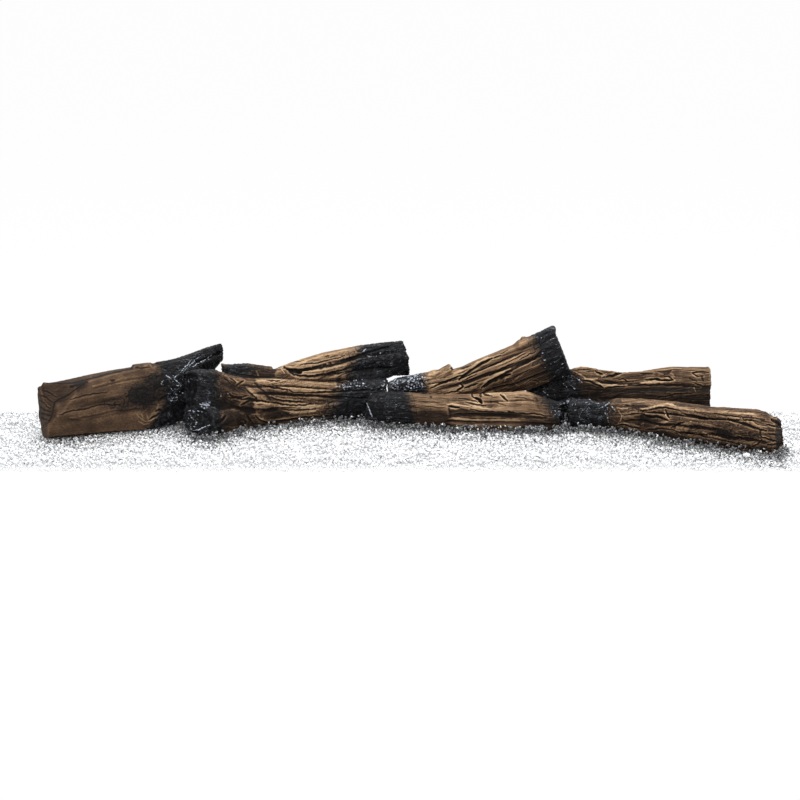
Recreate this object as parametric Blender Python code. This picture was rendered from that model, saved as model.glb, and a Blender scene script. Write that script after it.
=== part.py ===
"""Log set for a linear electric fireplace: six cast resin logs that look like half-burnt driftwood,
laid by hand on a bed of clear crystals.

Frame: X runs along the bed from left to right, +Y points to the back, +Z is up. The origin is in the
middle of the bed's underside. Each log is a loft through sections whose shares of the
log's own length, height and depth are listed beside its sizes, and its limbs are lofts joined to it."""

import math
import random
from typing import NamedTuple

import bmesh
import bpy
import numpy as np
from mathutils import Matrix, Vector, noise
from mathutils.bvhtree import BVHTree

MM = 0.001
GOLDEN_ANGLE = math.pi * (3 - math.sqrt(5))

# Clearances
SEAT_GAP = 0.3 * MM
SIDE_GAP = 5 * MM
END_GAP = 11 * MM
FRONT_END_GAP = 7 * MM
BRANCH_GAP = 13 * MM
BURNT_END_GAP = 9 * MM

# The bed of crystals
BED_DEPTH = 344 * MM
BED_HEIGHT = 14 * MM
BED_CELL = 19 * MM
BED_DIMPLE = 8 * MM
BED_EDGE_HEIGHT = 5 * MM
BED_BACK_HEIGHT = 11 * MM
BED_EDGE_WAVE = 9 * MM
BED_DIMPLE_SHARES = (-0.5, 1.0)
BED_SHIFT_SHARE = 0.3
LEFT_MARGIN = 112 * MM
RIGHT_MARGIN = 98 * MM

# Loose crystals
CRYSTAL_SIZE = 13 * MM
CRYSTAL_CORNERS = 10
CRYSTAL_STRETCH_SHARES = ((0.8, 1.2), (0.6, 1.0), (0.5, 0.8))
CRYSTAL_TWIST = 0.3
LOOSE_CRYSTALS = 16
LOOSE_CRYSTAL_PLACE_SHARES = (0.2, 0.8)
LOOSE_CRYSTAL_REACH = 60 * MM

# The surface of every log
STATION_PITCH = 13 * MM
FEWEST_STATIONS = 3
COLUMNS_PER_EDGE = 3
RIPPLE = 2.2 * MM
RIPPLE_RUN = 70 * MM
RIPPLE_PITCH = 17 * MM
CRACK_DEPTH = 8 * MM
CRACK_WIDTH_SHARE = 0.1
CRACK_WANDER_SHARE = 0.05
KNOT_RISE = 10 * MM
KNOT_REACH = 30 * MM
END_JAG = 5 * MM
SAWN_JAG_SHARE = 0.25
JAG_PITCH = 10 * MM
CHAR_HOLLOW = 9 * MM
SAWN_HOLLOW = 1.5 * MM
CAP_SHARE = 0.62
LIMB_STEP = 1 * MM

# The front log, from which the others are laid out
FRONT_LOG_LENGTH = 322 * MM
FRONT_LOG_HEIGHT = 58 * MM
FRONT_LOG_DEPTH = 42 * MM
FRONT_LOG_TO_BACK_EDGE = 110 * MM
FRONT_LOG_HEADING = math.radians(-5.1)

# The leaning log, behind the front log
LEANING_LOG_LENGTH = 289 * MM
LEANING_LOG_HEIGHT = 84 * MM
LEANING_LOG_DEPTH = 60 * MM
LEANING_LOG_END_DEPTH = 38 * MM
LEANING_LOG_INSET = 36 * MM
LEANING_LOG_HEADING = math.radians(-0.5)

# The forked log, left of the middle
FORKED_LOG_LENGTH = 333 * MM
FORKED_LOG_HEIGHT = 102 * MM
FORKED_LOG_DEPTH = 60 * MM
FORKED_LOG_END_DEPTH = 46 * MM
FORKED_LOG_HEADING = math.radians(15.9)
BRANCH_HEIGHT = 58 * MM
BRANCH_DEPTH = 38 * MM
BRANCH_PASSES = 26 * MM

# The left log
LEFT_LOG_LENGTH = 264 * MM
LEFT_LOG_HEIGHT = 106 * MM
LEFT_LOG_DEPTH = 60 * MM
LEFT_LOG_TUCK = 6 * MM
LEFT_LOG_HEADING = math.radians(21.5)

# The right log
RIGHT_LOG_LENGTH = 358 * MM
RIGHT_LOG_HEIGHT = 66 * MM
RIGHT_LOG_DEPTH = 54 * MM
RIGHT_LOG_STEP_BACK = 15 * MM
RIGHT_LOG_HEADING = math.radians(-24)

# The back right log
BACK_LOG_LENGTH = 310 * MM
BACK_LOG_HEIGHT = 82 * MM
BACK_LOG_DEPTH = 60 * MM
BACK_LOG_TUCK = 56 * MM
BACK_LOG_ROOM = 28 * MM

FOOT = BED_HEIGHT + SEAT_GAP

# Starting points of the noise that makes each surface unlike the others
LEFT_LOG_SEED, SPIKE_SEED = 1.7, 4.1
FORKED_LOG_SEED, BRANCH_SEED, ROOT_SEED, STUB_SEED = 7.3, 9.9, 12.7, 15.1
LEANING_LOG_SEED, KNOB_SEED = 18.9, 21.3
BACK_LOG_SEED, FRONT_LOG_SEED, RIGHT_LOG_SEED = 24.7, 27.1, 30.3
ROW_SEEDS = 1000


class Station(NamedTuple):
    """One section of a log. along and side are shares of its length, and side is positive to the back.
    centre is the section's middle above the log's foot and tall its thickness, as shares of the log's
    height. deep is a share of the log's depth."""

    along: float
    side: float
    centre: float
    tall: float
    deep: float


class Crack(NamedTuple):
    """A V-shaped crack along the grain. column counts the section's corners, so 1.5 is halfway along its
    second side. It runs from start to end, which are shares of the length, and depth is a share of the
    deepest crack."""

    column: float
    start: float
    end: float
    depth: float


class Knot(NamedTuple):
    """A swelling about a point of the surface, or a hollow where rise is negative. column and along place
    it as on a crack, and reach and rise are shares of the largest knot's."""

    column: float
    along: float
    reach: float
    rise: float


class Cut(NamedTuple):
    """How a log ends. lean is how far the top stands out beyond the middle, as a share of the height, and
    swing how far the front does, as a share of the depth. The slant fades out over run, a share of the
    length. charred ends are ragged and burnt hollow."""

    lean: float
    swing: float
    run: float
    charred: bool


class Shape(NamedTuple):
    """What loft() sweeps: the corners of the first and last section, as shares of depth and height from
    the middle, with the front at negative depth, listed from the bottom front up over the top."""

    first_corner_shares: tuple
    last_corner_shares: tuple
    bulge_share: float
    cracks: tuple
    knots: tuple
    first_cut: Cut
    last_cut: Cut


class Limb(NamedTuple):
    """A short limb that grows out of a log. spots are its path, as shares: how far along the log, then
    how far from the middle of the section there, to the back in depths and up in heights. sizes are its
    (tall, deep) sections at even steps, as shares of the log's own height and depth."""

    spots: tuple
    sizes: tuple
    shape: Shape


SPLIT_CORNER_SHARES = ((-0.46, -0.5), (-0.5, 0.28), (-0.24, 0.5), (0.3, 0.44), (0.5, 0.05), (0.44, -0.5))
RIDGED_CORNER_SHARES = ((-0.40, -0.5), (-0.5, 0.06), (-0.12, 0.5), (0.36, 0.45), (0.5, 0.0), (0.40, -0.5))
WEDGE_CORNER_SHARES = ((-0.22, -0.46), (-0.5, 0.0), (-0.16, 0.5), (0.40, 0.43), (0.5, -0.08), (0.14, -0.5))
ROUND_CORNER_SHARES = ((-0.3, -0.44), (-0.5, 0.0), (-0.28, 0.42), (0.26, 0.46), (0.5, 0.04), (0.3, -0.46))
SLOPED_CORNER_SHARES = ((-0.3, -0.44), (-0.5, 0.0), (-0.27, 0.48), (0.22, 0.24), (0.5, -0.04), (0.3, -0.46))
BOARD_CORNER_SHARES = ((-0.42, -0.5), (-0.5, 0.2), (-0.34, 0.46), (0.2, 0.5), (0.5, 0.24), (0.44, -0.5))

BURIED_CUT = Cut(0.0, 0.0, 0.1, False)
BURNT_CUT = Cut(0.0, 0.0, 0.16, True)

FRONT_LOG_STATION_SHARES = (
    Station(0.0, 0.0, 0.56, 0.72, 0.90),
    Station(0.08, 0.0, 0.57, 0.78, 0.92),
    Station(0.20, 0.0, 0.55, 0.80, 0.94),
    Station(0.33, 0.004, 0.49, 0.84, 0.96),
    Station(0.50, 0.0, 0.46, 0.92, 1.0),
    Station(0.68, -0.004, 0.50, 1.0, 1.0),
    Station(0.82, 0.0, 0.52, 1.04, 0.98),
    Station(0.92, 0.004, 0.43, 0.88, 0.92),
    Station(1.0, 0.0, 0.36, 0.70, 0.86),
)
FRONT_LOG_SHAPE = Shape(
    SPLIT_CORNER_SHARES,
    RIDGED_CORNER_SHARES,
    0.05,
    (
        Crack(0.35, 0.40, 0.97, 1.0),
        Crack(0.7, 0.44, 0.80, 0.6),
        Crack(1.6, 0.52, 0.86, 0.5),
        Crack(2.5, 0.52, 0.74, 1.0),
        Crack(3.5, 0.10, 0.55, 0.5),
    ),
    (Knot(1.2, 0.63, 0.8, -0.5), Knot(2.1, 0.80, 1.0, 0.3), Knot(4.2, 0.4, 1.0, 0.3)),
    Cut(-0.14, 0.22, 0.16, False),
    Cut(-0.12, -0.1, 0.16, True),
)

LEANING_LOG_STATION_SHARES = (
    Station(0.0, 0.0, 0.35, 0.76, 0.63),
    Station(0.20, 0.0, 0.46, 0.88, 0.72),
    Station(0.34, 0.0, 0.55, 0.84, 0.78),
    Station(0.46, 0.0, 0.68, 0.82, 0.86),
    Station(0.56, 0.0, 0.81, 0.91, 0.94),
    Station(0.70, 0.0, 0.97, 0.96, 1.0),
    Station(0.86, 0.0, 1.18, 0.98, 1.0),
    Station(1.0, 0.0, 1.41, 1.0, 1.0),
)
LEANING_LOG_SHAPE = Shape(
    ROUND_CORNER_SHARES,
    WEDGE_CORNER_SHARES,
    0.04,
    (
        Crack(1.35, 0.30, 0.98, 0.9),
        Crack(1.7, 0.22, 0.80, 0.7),
        Crack(0.5, 0.45, 0.90, 0.8),
        Crack(2.5, 0.30, 0.90, 0.6),
        Crack(4.5, 0.20, 0.85, 0.6),
    ),
    (Knot(0.6, 0.60, 1.2, -0.6), Knot(1.0, 0.34, 0.8, 0.3), Knot(4.0, 0.6, 1.0, 0.3)),
    BURNT_CUT,
    Cut(0.06, 0.0, 0.1, False),
)
KNOB_SHAPE = Shape(ROUND_CORNER_SHARES, SPLIT_CORNER_SHARES, 0.04, (), (), BURIED_CUT, BURNT_CUT)
LEANING_LOG_KNOB_SHARES = Limb(
    ((0.16, 0.0, 0.12), (0.30, 0.0, 0.34), (0.37, 0.0, 0.50)),
    ((0.50, 0.52), (0.40, 0.46), (0.30, 0.38)),
    KNOB_SHAPE,
)

FORKED_LOG_STATION_SHARES = (
    Station(0.0, 0.0, 0.56, 0.86, 0.84),
    Station(0.12, 0.005, 0.49, 0.95, 1.0),
    Station(0.27, 0.020, 0.41, 0.80, 1.0),
    Station(0.45, 0.058, 0.38, 0.76, 0.96),
    Station(0.70, 0.052, 0.33, 0.67, 0.83),
    Station(1.0, 0.0, 0.295, 0.59, 0.76),
)
FORKED_LOG_SHAPE = Shape(
    SPLIT_CORNER_SHARES,
    ROUND_CORNER_SHARES,
    0.05,
    (
        Crack(0.55, 0.16, 0.55, 0.9),
        Crack(1.15, 0.28, 0.95, 1.0),
        Crack(1.65, 0.24, 0.85, 0.7),
        Crack(4.5, 0.10, 0.80, 0.7),
    ),
    (Knot(0.5, 0.34, 0.9, 0.5), Knot(0.7, 0.17, 0.9, -0.9), Knot(1.3, 0.2, 0.8, -0.4)),
    Cut(0.02, -0.1, 0.16, True),
    Cut(0.04, 0.0, 0.1, True),
)
FORKED_LOG_ROOT_SHARES = Limb(
    ((0.26, -0.12, -0.20), (0.12, -0.40, -0.29), (0.012, -0.66, -0.31)),
    ((0.26, 0.40), (0.36, 0.66), (0.40, 0.74), (0.39, 0.72)),
    Shape(SPLIT_CORNER_SHARES, SPLIT_CORNER_SHARES, 0.04, (), (), BURIED_CUT, Cut(0.0, 0.7, 0.5, True)),
)
FORKED_LOG_STUB_SHARES = Limb(
    ((0.44, 0.20, 0.51), (0.33, 0.34, 0.53), (0.195, 0.50, 0.47)),
    ((0.30, 0.60), (0.33, 0.52), (0.27, 0.42)),
    Shape(ROUND_CORNER_SHARES, SPLIT_CORNER_SHARES, 0.04, (), (), BURIED_CUT, BURNT_CUT),
)
BRANCH_START_SHARES = (0.382, 0.10, 0.12)
BRANCH_TIP_RISE_SHARE = 0.91
BRANCH_STATION_SHARES = (
    Station(0.0, 0.0, 0.015, 0.80, 0.80),
    Station(0.11, 0.0, 0.058, 0.80, 0.83),
    Station(0.25, 0.0, 0.067, 0.80, 0.88),
    Station(0.42, 0.0, 0.076, 0.86, 0.95),
    Station(0.72, 0.0, 0.047, 0.93, 1.0),
    Station(1.0, 0.0, 0.0, 1.0, 1.0),
)
BRANCH_SHAPE = Shape(
    ROUND_CORNER_SHARES,
    RIDGED_CORNER_SHARES,
    0.04,
    (Crack(1.4, 0.15, 0.98, 0.8), Crack(0.5, 0.35, 0.9, 0.8), Crack(3.5, 0.3, 0.9, 0.6)),
    (Knot(1.0, 0.55, 0.8, 0.2),),
    BURIED_CUT,
    Cut(-0.12, 0.0, 0.16, True),
)

LEFT_LOG_STATION_SHARES = (
    Station(0.0, 0.0, 0.405, 0.81, 0.92),
    Station(0.12, 0.0, 0.41, 0.82, 0.96),
    Station(0.25, 0.004, 0.43, 0.86, 1.0),
    Station(0.50, 0.0, 0.475, 0.95, 1.0),
    Station(0.72, -0.004, 0.50, 0.98, 1.0),
    Station(0.88, 0.0, 0.56, 0.98, 1.0),
    Station(1.0, 0.01, 0.63, 0.88, 0.94),
)
LEFT_LOG_SHAPE = Shape(
    BOARD_CORNER_SHARES,
    SPLIT_CORNER_SHARES,
    0.03,
    (
        Crack(0.5, 0.14, 0.62, 0.4),
        Crack(0.8, 0.20, 0.55, 0.3),
        Crack(1.5, 0.3, 0.7, 0.5),
        Crack(0.65, 0.70, 1.0, 1.0),
        Crack(3.4, 0.2, 0.8, 0.7),
    ),
    (Knot(0.35, 0.66, 0.7, -0.5), Knot(0.75, 0.83, 0.8, 0.4), Knot(0.3, 0.93, 0.8, -0.8)),
    BURIED_CUT,
    Cut(0.10, 0.0, 0.16, True),
)
LEFT_LOG_SPIKE_SHARES = Limb(
    ((0.80, 0.0, 0.10), (0.96, 0.02, 0.22), (1.18, 0.08, 0.34)),
    ((0.86, 0.70), (0.66, 0.64), (0.52, 0.56), (0.42, 0.46), (0.26, 0.36)),
    Shape(SPLIT_CORNER_SHARES, WEDGE_CORNER_SHARES, 0.04, (Crack(1.3, 0.2, 1.0, 0.9),), (),
          BURIED_CUT, Cut(0.5, 0.0, 0.4, True)),
)
LEFT_LOG_CHOP_SHARES = ((0.05, -0.5, -0.1), (0.27, -0.5, 0.5), (-0.05, 0.5, 0.5))

RIGHT_LOG_STATION_SHARES = (
    Station(0.0, 0.0, 0.34, 0.66, 0.72),
    Station(0.10, 0.032, 0.325, 0.65, 0.80),
    Station(0.17, 0.046, 0.34, 0.66, 0.86),
    Station(0.21, 0.046, 0.38, 0.76, 0.96),
    Station(0.31, 0.042, 0.415, 0.83, 1.0),
    Station(0.42, 0.028, 0.44, 0.88, 1.0),
    Station(0.67, 0.004, 0.445, 0.89, 0.96),
    Station(0.80, 0.0, 0.465, 0.94, 1.0),
    Station(0.90, 0.0, 0.475, 0.95, 1.0),
    Station(1.0, 0.0, 0.38, 0.76, 0.92),
)
RIGHT_LOG_SHAPE = Shape(
    ROUND_CORNER_SHARES,
    BOARD_CORNER_SHARES,
    0.05,
    (
        Crack(1.5, 0.34, 0.92, 0.8),
        Crack(0.45, 0.55, 0.95, 0.9),
        Crack(0.8, 0.30, 0.75, 0.8),
        Crack(3.5, 0.2, 0.7, 0.6),
    ),
    (Knot(0.75, 0.36, 0.9, -0.8), Knot(0.9, 0.47, 0.8, 0.5), Knot(0.5, 0.72, 0.7, -0.5),
     Knot(1.6, 0.26, 0.8, 0.3)),
    BURNT_CUT,
    Cut(-0.36, 0.10, 0.16, False),
)

BACK_LOG_STATION_SHARES = (
    Station(0.0, 0.0, 0.32, 0.64, 0.70),
    Station(0.10, 0.0, 0.41, 0.82, 0.80),
    Station(0.188, 0.0, 0.49, 0.98, 0.90),
    Station(0.25, 0.0, 0.52, 1.04, 0.95),
    Station(0.31, 0.0, 0.55, 1.10, 0.97),
    Station(0.363, 0.0, 0.51, 1.02, 1.0),
    Station(0.493, 0.0, 0.475, 0.95, 1.0),
    Station(0.631, 0.0, 0.478, 0.956, 1.0),
    Station(0.797, 0.0, 0.513, 1.026, 1.0),
    Station(1.0, 0.0, 0.49, 0.98, 0.96),
)
BACK_LOG_SHAPE = Shape(
    SLOPED_CORNER_SHARES,
    RIDGED_CORNER_SHARES,
    0.04,
    (
        Crack(1.5, 0.34, 0.61, 0.7),
        Crack(0.5, 0.31, 0.95, 0.8),
        Crack(3.5, 0.26, 0.91, 0.7),
    ),
    (Knot(1.6, 0.74, 0.7, -0.4), Knot(0.9, 0.38, 0.8, -0.5), Knot(0.85, 0.89, 0.7, 0.4)),
    BURNT_CUT,
    Cut(-0.02, 0.0, 0.16, False),
)


def remove_everything():
    for item in list(bpy.data.objects):
        bpy.data.objects.remove(item, do_unlink=True)


def finish_material(name, colour, roughness, transmission=0.0):
    material = bpy.data.materials.new(name)
    material.use_nodes = True
    shader = material.node_tree.nodes["Principled BSDF"]
    shader.inputs["Base Color"].default_value = (*colour, 1.0)
    shader.inputs["Roughness"].default_value = roughness
    shader.inputs["Metallic"].default_value = 0.0
    shader.inputs["Transmission Weight"].default_value = transmission
    material.diffuse_color = (*colour, 1.0)
    return material


def make_object(name, mesh_builder, material=None):
    """One named object from a bmesh, with its faces pointing out."""
    bmesh.ops.recalc_face_normals(mesh_builder, faces=mesh_builder.faces)
    mesh = bpy.data.meshes.new(name)
    mesh_builder.to_mesh(mesh)
    mesh_builder.free()
    if material is not None:
        mesh.materials.append(material)
    item = bpy.data.objects.new(name, mesh)
    bpy.context.scene.collection.objects.link(item)
    return item


def columns_of(shape):
    """Where the loft has vertices round its section, as (column, part) pairs. column counts corners. part
    is 1 in the bottom of a crack, 0 on its two lips, and None on a plain column. A plain column that a
    crack would crowd is left out."""
    corner_count = len(shape.first_corner_shares)
    step = 1 / COLUMNS_PER_EDGE
    cracks = sorted({crack.column for crack in shape.cracks})
    plain = [i * step for i in range(corner_count * COLUMNS_PER_EDGE)]
    columns = [(c, None) for c in plain if all(abs(c - crack) > step / 2 for crack in cracks)]
    for crack in cracks:
        columns += [(crack - CRACK_WIDTH_SHARE, 0), (crack, 1), (crack + CRACK_WIDTH_SHARE, 0)]
    return sorted(columns)


def section_point(corners, column, bulge_share):
    """The point of a closed outline at a column, with each side bowed out by a share of its length."""
    index = int(column) % len(corners)
    part = column - int(column)
    start = Vector(corners[index])
    end = Vector(corners[(index + 1) % len(corners)])
    side = end - start
    outward = Vector((-side.y, side.x))
    return start + side * part + outward * (4 * part * (1 - part) * bulge_share)


def crack_depth(shape, column, along):
    """How deep the cracks of one column are at this share of the length."""
    deepest = 0.0
    for crack in shape.cracks:
        if crack.column == column and crack.start < along < crack.end:
            window = math.sin(math.pi * (along - crack.start) / (crack.end - crack.start))
            deepest = max(deepest, crack.depth * math.sqrt(window) * CRACK_DEPTH)
    return deepest


def knot_rise(shape, column, along, length, side):
    """How far the knots lift the surface. side is the length of one side of the section."""
    corner_count = len(shape.first_corner_shares)
    rise = 0.0
    for knot in shape.knots:
        turn = abs(column - knot.column)
        turn = min(turn, corner_count - turn)
        distance = math.hypot(turn * side, (along - knot.along) * length)
        reach = knot.reach * KNOT_REACH
        if distance < reach:
            rise += knot.rise * KNOT_RISE * (1 + math.cos(math.pi * distance / reach)) / 2
    return rise


def cut_offset(cut, beyond, across, up, seed):
    """How far a vertex near an end moves outward along the log, so that the end is slanted and rough.
    beyond is the share of the length from the end to the vertex."""
    reach = max(0.0, 1 - beyond / cut.run)
    slant = cut.lean * up - cut.swing * across
    rough = END_JAG if cut.charred else END_JAG * SAWN_JAG_SHARE
    bump = noise.noise(Vector((across / JAG_PITCH, up / JAG_PITCH, seed)))
    return reach * slant + (reach ** 3) * rough * bump


def loft(path, shape, seed, foot=None):
    """A closed body through sections. path lists (centre point, tall, deep) for each one. The sections
    stand square to the path, and nothing reaches below foot, so the log has a flat to lie on."""
    columns = columns_of(shape)
    centres = [centre for centre, tall, deep in path]
    last = len(path) - 1
    length = sum((b - a).length for a, b in zip(centres, centres[1:]))
    builder = bmesh.new()
    rings = []
    for index, (centre, tall, deep) in enumerate(path):
        along = index / last
        tangent = (centres[min(index + 1, last)] - centres[max(index - 1, 0)]).normalized()
        back = Vector((0, 0, 1)).cross(tangent).normalized()
        up = tangent.cross(back)
        side = 2 * (tall + deep) / len(shape.first_corner_shares)
        wander = CRACK_WANDER_SHARE * noise.noise(Vector((along * length / RIPPLE_RUN, seed, 0)))
        ring = []
        for column, part in columns:
            place = column if part is None else column + wander
            first = section_point(shape.first_corner_shares, place, shape.bulge_share)
            final = section_point(shape.last_corner_shares, place, shape.bulge_share)
            share = first.lerp(final, along)
            flat = Vector((share.x * deep, share.y * tall))
            ripple = noise.noise(Vector((along * length / RIPPLE_RUN, flat.x / RIPPLE_PITCH + seed,
                                         flat.y / RIPPLE_PITCH)))
            outward = RIPPLE * ripple + knot_rise(shape, column, along, length, side)
            if part == 1:
                outward -= crack_depth(shape, column, along)
            flat += flat.normalized() * outward
            shift = cut_offset(shape.last_cut, 1 - along, flat.x, flat.y, seed)
            shift -= cut_offset(shape.first_cut, along, flat.x, flat.y, seed)
            point = centre + back * flat.x + up * flat.y + tangent * shift
            if foot is not None:
                point.z = max(point.z, foot)
            ring.append(builder.verts.new(point))
        rings.append(ring)
    for ring, following in zip(rings, rings[1:]):
        for i in range(len(ring)):
            j = (i + 1) % len(ring)
            builder.faces.new((ring[i], ring[j], following[j], following[i]))
    close_end(builder, rings[0], centres[1] - centres[0], shape.first_cut, seed, foot)
    close_end(builder, rings[-1], centres[-2] - centres[-1], shape.last_cut, seed, foot)
    return builder


def close_end(builder, ring, into, cut, seed, foot):
    """An end face in two steps: a rim, and a middle that is burnt hollow or nearly flat."""
    into = into.normalized()
    middle = sum((vert.co for vert in ring), Vector()) / len(ring)
    hollow = CHAR_HOLLOW if cut.charred else SAWN_HOLLOW
    inner = []
    for vert in ring:
        point = middle.lerp(vert.co, CAP_SHARE)
        rough = (1 + noise.noise(point / JAG_PITCH + Vector((seed, 0, 0)))) / 2
        point += into * hollow * rough
        if foot is not None:
            point.z = max(point.z, foot)
        inner.append(builder.verts.new(point))
    centre = builder.verts.new(middle + into * hollow)
    for i in range(len(ring)):
        j = (i + 1) % len(ring)
        builder.faces.new((ring[i], ring[j], inner[j], inner[i]))
        builder.faces.new((inner[i], inner[j], centre))


def interpolated(stations, along):
    """A station between the listed ones."""
    knots = [station.along for station in stations]
    return Station(*(np.interp(along, knots, column) for column in zip(*stations)))


def heading_vector(heading):
    return Vector((math.cos(heading), math.sin(heading), 0))


def log_path(stations, start, heading, length, height, depth):
    """The path of a log that lies on the bed: start is its first end's middle in plan."""
    ahead = heading_vector(heading)
    aside = Vector((-ahead.y, ahead.x, 0))
    count = max(FEWEST_STATIONS, round(length / STATION_PITCH))
    path = []
    for i in range(count + 1):
        s = interpolated(stations, i / count)
        centre = start + (ahead * s.along + aside * s.side) * length
        centre.z = FOOT + s.centre * height
        path.append((centre, s.tall * height, s.deep * depth))
    return path


def path_through(points, sizes):
    """The path of a limb: points are joined by straight runs, and sizes are (tall, deep) pairs at even
    steps along them."""
    runs = [0.0]
    for a, b in zip(points, points[1:]):
        runs.append(runs[-1] + (b - a).length)
    count = max(FEWEST_STATIONS, round(runs[-1] / STATION_PITCH))
    knots = np.linspace(0, 1, len(sizes))
    path = []
    for i in range(count + 1):
        along = i / count
        place = [np.interp(along * runs[-1], runs, [point[k] for point in points]) for k in range(3)]
        tall, deep = (float(np.interp(along, knots, size)) for size in zip(*sizes))
        path.append((Vector(place), tall, deep))
    return path


def spot_on(path, along, across, rise):
    """A point of a log by shares, as a Limb's spots give it. along may run past either end."""
    place = along * (len(path) - 1)
    index = max(0, min(int(place), len(path) - 2))
    (a, tall_a, deep_a), (b, tall_b, deep_b) = path[index], path[index + 1]
    part = place - index
    within = max(0, min(part, 1))
    back = Vector((0, 0, 1)).cross(b - a).normalized()
    deep = deep_a + (deep_b - deep_a) * within
    tall = tall_a + (tall_b - tall_a) * within
    return a.lerp(b, part) + back * (across * deep) + Vector((0, 0, rise * tall))


def as_guide(item):
    """Marks a cutter, or a body that a union takes in: it isn't a piece of the model."""
    item.hide_render = True
    item.display_type = "WIRE"


def unite(trunk, limb):
    modifier = trunk.modifiers.new(limb.name, "BOOLEAN")
    modifier.operation = "UNION"
    modifier.object = limb
    as_guide(limb)


def cut_away(log, name, builder):
    """Takes a closed shape out of a log."""
    cutter = make_object(name, builder)
    as_guide(cutter)
    modifier = log.modifiers.new(name, "BOOLEAN")
    modifier.operation = "DIFFERENCE"
    modifier.object = cutter


def half_space(origin, x_axis, y_axis, size):
    """A cube that fills the side of a plane that x_axis and y_axis turn towards."""
    normal = x_axis.cross(y_axis).normalized()
    x_axis = x_axis.normalized()
    turn = Matrix((x_axis, normal.cross(x_axis), normal)).transposed().to_4x4()
    builder = bmesh.new()
    place = Matrix.Translation(origin + normal * (size / 2)) @ turn
    bmesh.ops.create_cube(builder, size=size, matrix=place)
    return builder


def grow_limb(log, name, path, limb, height, depth, seed, foot=None):
    points = [spot_on(path, *spot) for spot in limb.spots]
    sizes = [(tall * height, deep * depth) for tall, deep in limb.sizes]
    unite(log, make_object(name, loft(path_through(points, sizes), limb.shape, seed, foot)))


def front_log_path():
    start = Vector((0, BED_DEPTH / 2 - FRONT_LOG_TO_BACK_EDGE, 0))
    return log_path(FRONT_LOG_STATION_SHARES, start, FRONT_LOG_HEADING, FRONT_LOG_LENGTH,
                    FRONT_LOG_HEIGHT, FRONT_LOG_DEPTH)


def leaning_log_path(front):
    """It starts behind the front log, a little in from that log's left end."""
    clear = (FRONT_LOG_DEPTH + LEANING_LOG_END_DEPTH) / 2 + SIDE_GAP
    start = front[0][0] + heading_vector(FRONT_LOG_HEADING) * LEANING_LOG_INSET + Vector((0, clear, 0))
    return log_path(LEANING_LOG_STATION_SHARES, start, LEANING_LOG_HEADING, LEANING_LOG_LENGTH,
                    LEANING_LOG_HEIGHT, LEANING_LOG_DEPTH)


def forked_log_path(front, leaning):
    """Its right end lies behind the front log and stops short of the leaning log's left end."""
    clear = (FRONT_LOG_DEPTH + FORKED_LOG_END_DEPTH) / 2 + SIDE_GAP
    end = Vector((leaning[0][0].x - END_GAP, front[0][0].y + clear, 0))
    start = end - heading_vector(FORKED_LOG_HEADING) * FORKED_LOG_LENGTH
    return log_path(FORKED_LOG_STATION_SHARES, start, FORKED_LOG_HEADING, FORKED_LOG_LENGTH,
                    FORKED_LOG_HEIGHT, FORKED_LOG_DEPTH)


def left_log_path(forked):
    """Its right end lies behind the forked log's left end."""
    clear = (FORKED_LOG_DEPTH + LEFT_LOG_DEPTH) / 2 + BURNT_END_GAP
    end = forked[0][0] + Vector((LEFT_LOG_TUCK, clear, 0))
    start = end - heading_vector(LEFT_LOG_HEADING) * LEFT_LOG_LENGTH
    return log_path(LEFT_LOG_STATION_SHARES, start, LEFT_LOG_HEADING, LEFT_LOG_LENGTH,
                    LEFT_LOG_HEIGHT, LEFT_LOG_DEPTH)


def right_log_path(front):
    """It carries on from the front log's right end and turns towards the front."""
    start = front[-1][0] + Vector((FRONT_END_GAP + END_JAG, RIGHT_LOG_STEP_BACK, 0))
    return log_path(RIGHT_LOG_STATION_SHARES, start, RIGHT_LOG_HEADING, RIGHT_LOG_LENGTH,
                    RIGHT_LOG_HEIGHT, RIGHT_LOG_DEPTH)


def back_log_path(leaning, right):
    """Its left end lies under the leaning log's raised end, behind the right log."""
    clear = (RIGHT_LOG_DEPTH * RIGHT_LOG_STATION_SHARES[0].deep + BACK_LOG_DEPTH) / 2 + BACK_LOG_ROOM
    start = Vector((leaning[-1][0].x - BACK_LOG_TUCK, right[0][0].y + clear, 0))
    return log_path(BACK_LOG_STATION_SHARES, start, 0.0, BACK_LOG_LENGTH, BACK_LOG_HEIGHT,
                    BACK_LOG_DEPTH)


def lay_out():
    """The paths of all six logs from left to right, moved so that the bed's middle is at the origin."""
    front = front_log_path()
    leaning = leaning_log_path(front)
    forked = forked_log_path(front, leaning)
    left = left_log_path(forked)
    right = right_log_path(front)
    back = back_log_path(leaning, right)
    left_edge, right_edge = bed_edges(left, right)
    shift = Vector(((left_edge + right_edge) / 2, 0, 0))
    paths = (left, forked, front, leaning, back, right)
    return [[(centre - shift, tall, deep) for centre, tall, deep in path] for path in paths]


def bed_edges(left, right):
    """The bed reaches a margin past the outer ends of the left and right logs."""
    return left[0][0].x - LEFT_MARGIN, right[-1][0].x + RIGHT_MARGIN


def build_left_log(path, material):
    """A squared log, chopped across its upper front corner, whose burnt right end runs out in a spike."""
    log = make_object("left_log", loft(path, LEFT_LOG_SHAPE, LEFT_LOG_SEED, FOOT), material)
    grow_limb(log, "left_log_spike", path, LEFT_LOG_SPIKE_SHARES, LEFT_LOG_HEIGHT, LEFT_LOG_DEPTH, SPIKE_SEED)
    low, high, far = (spot_on(path, *spot) for spot in LEFT_LOG_CHOP_SHARES)
    cut_away(log, "left_log_chop", half_space(high, far - high, low - high, LEFT_LOG_LENGTH))
    return log


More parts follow.
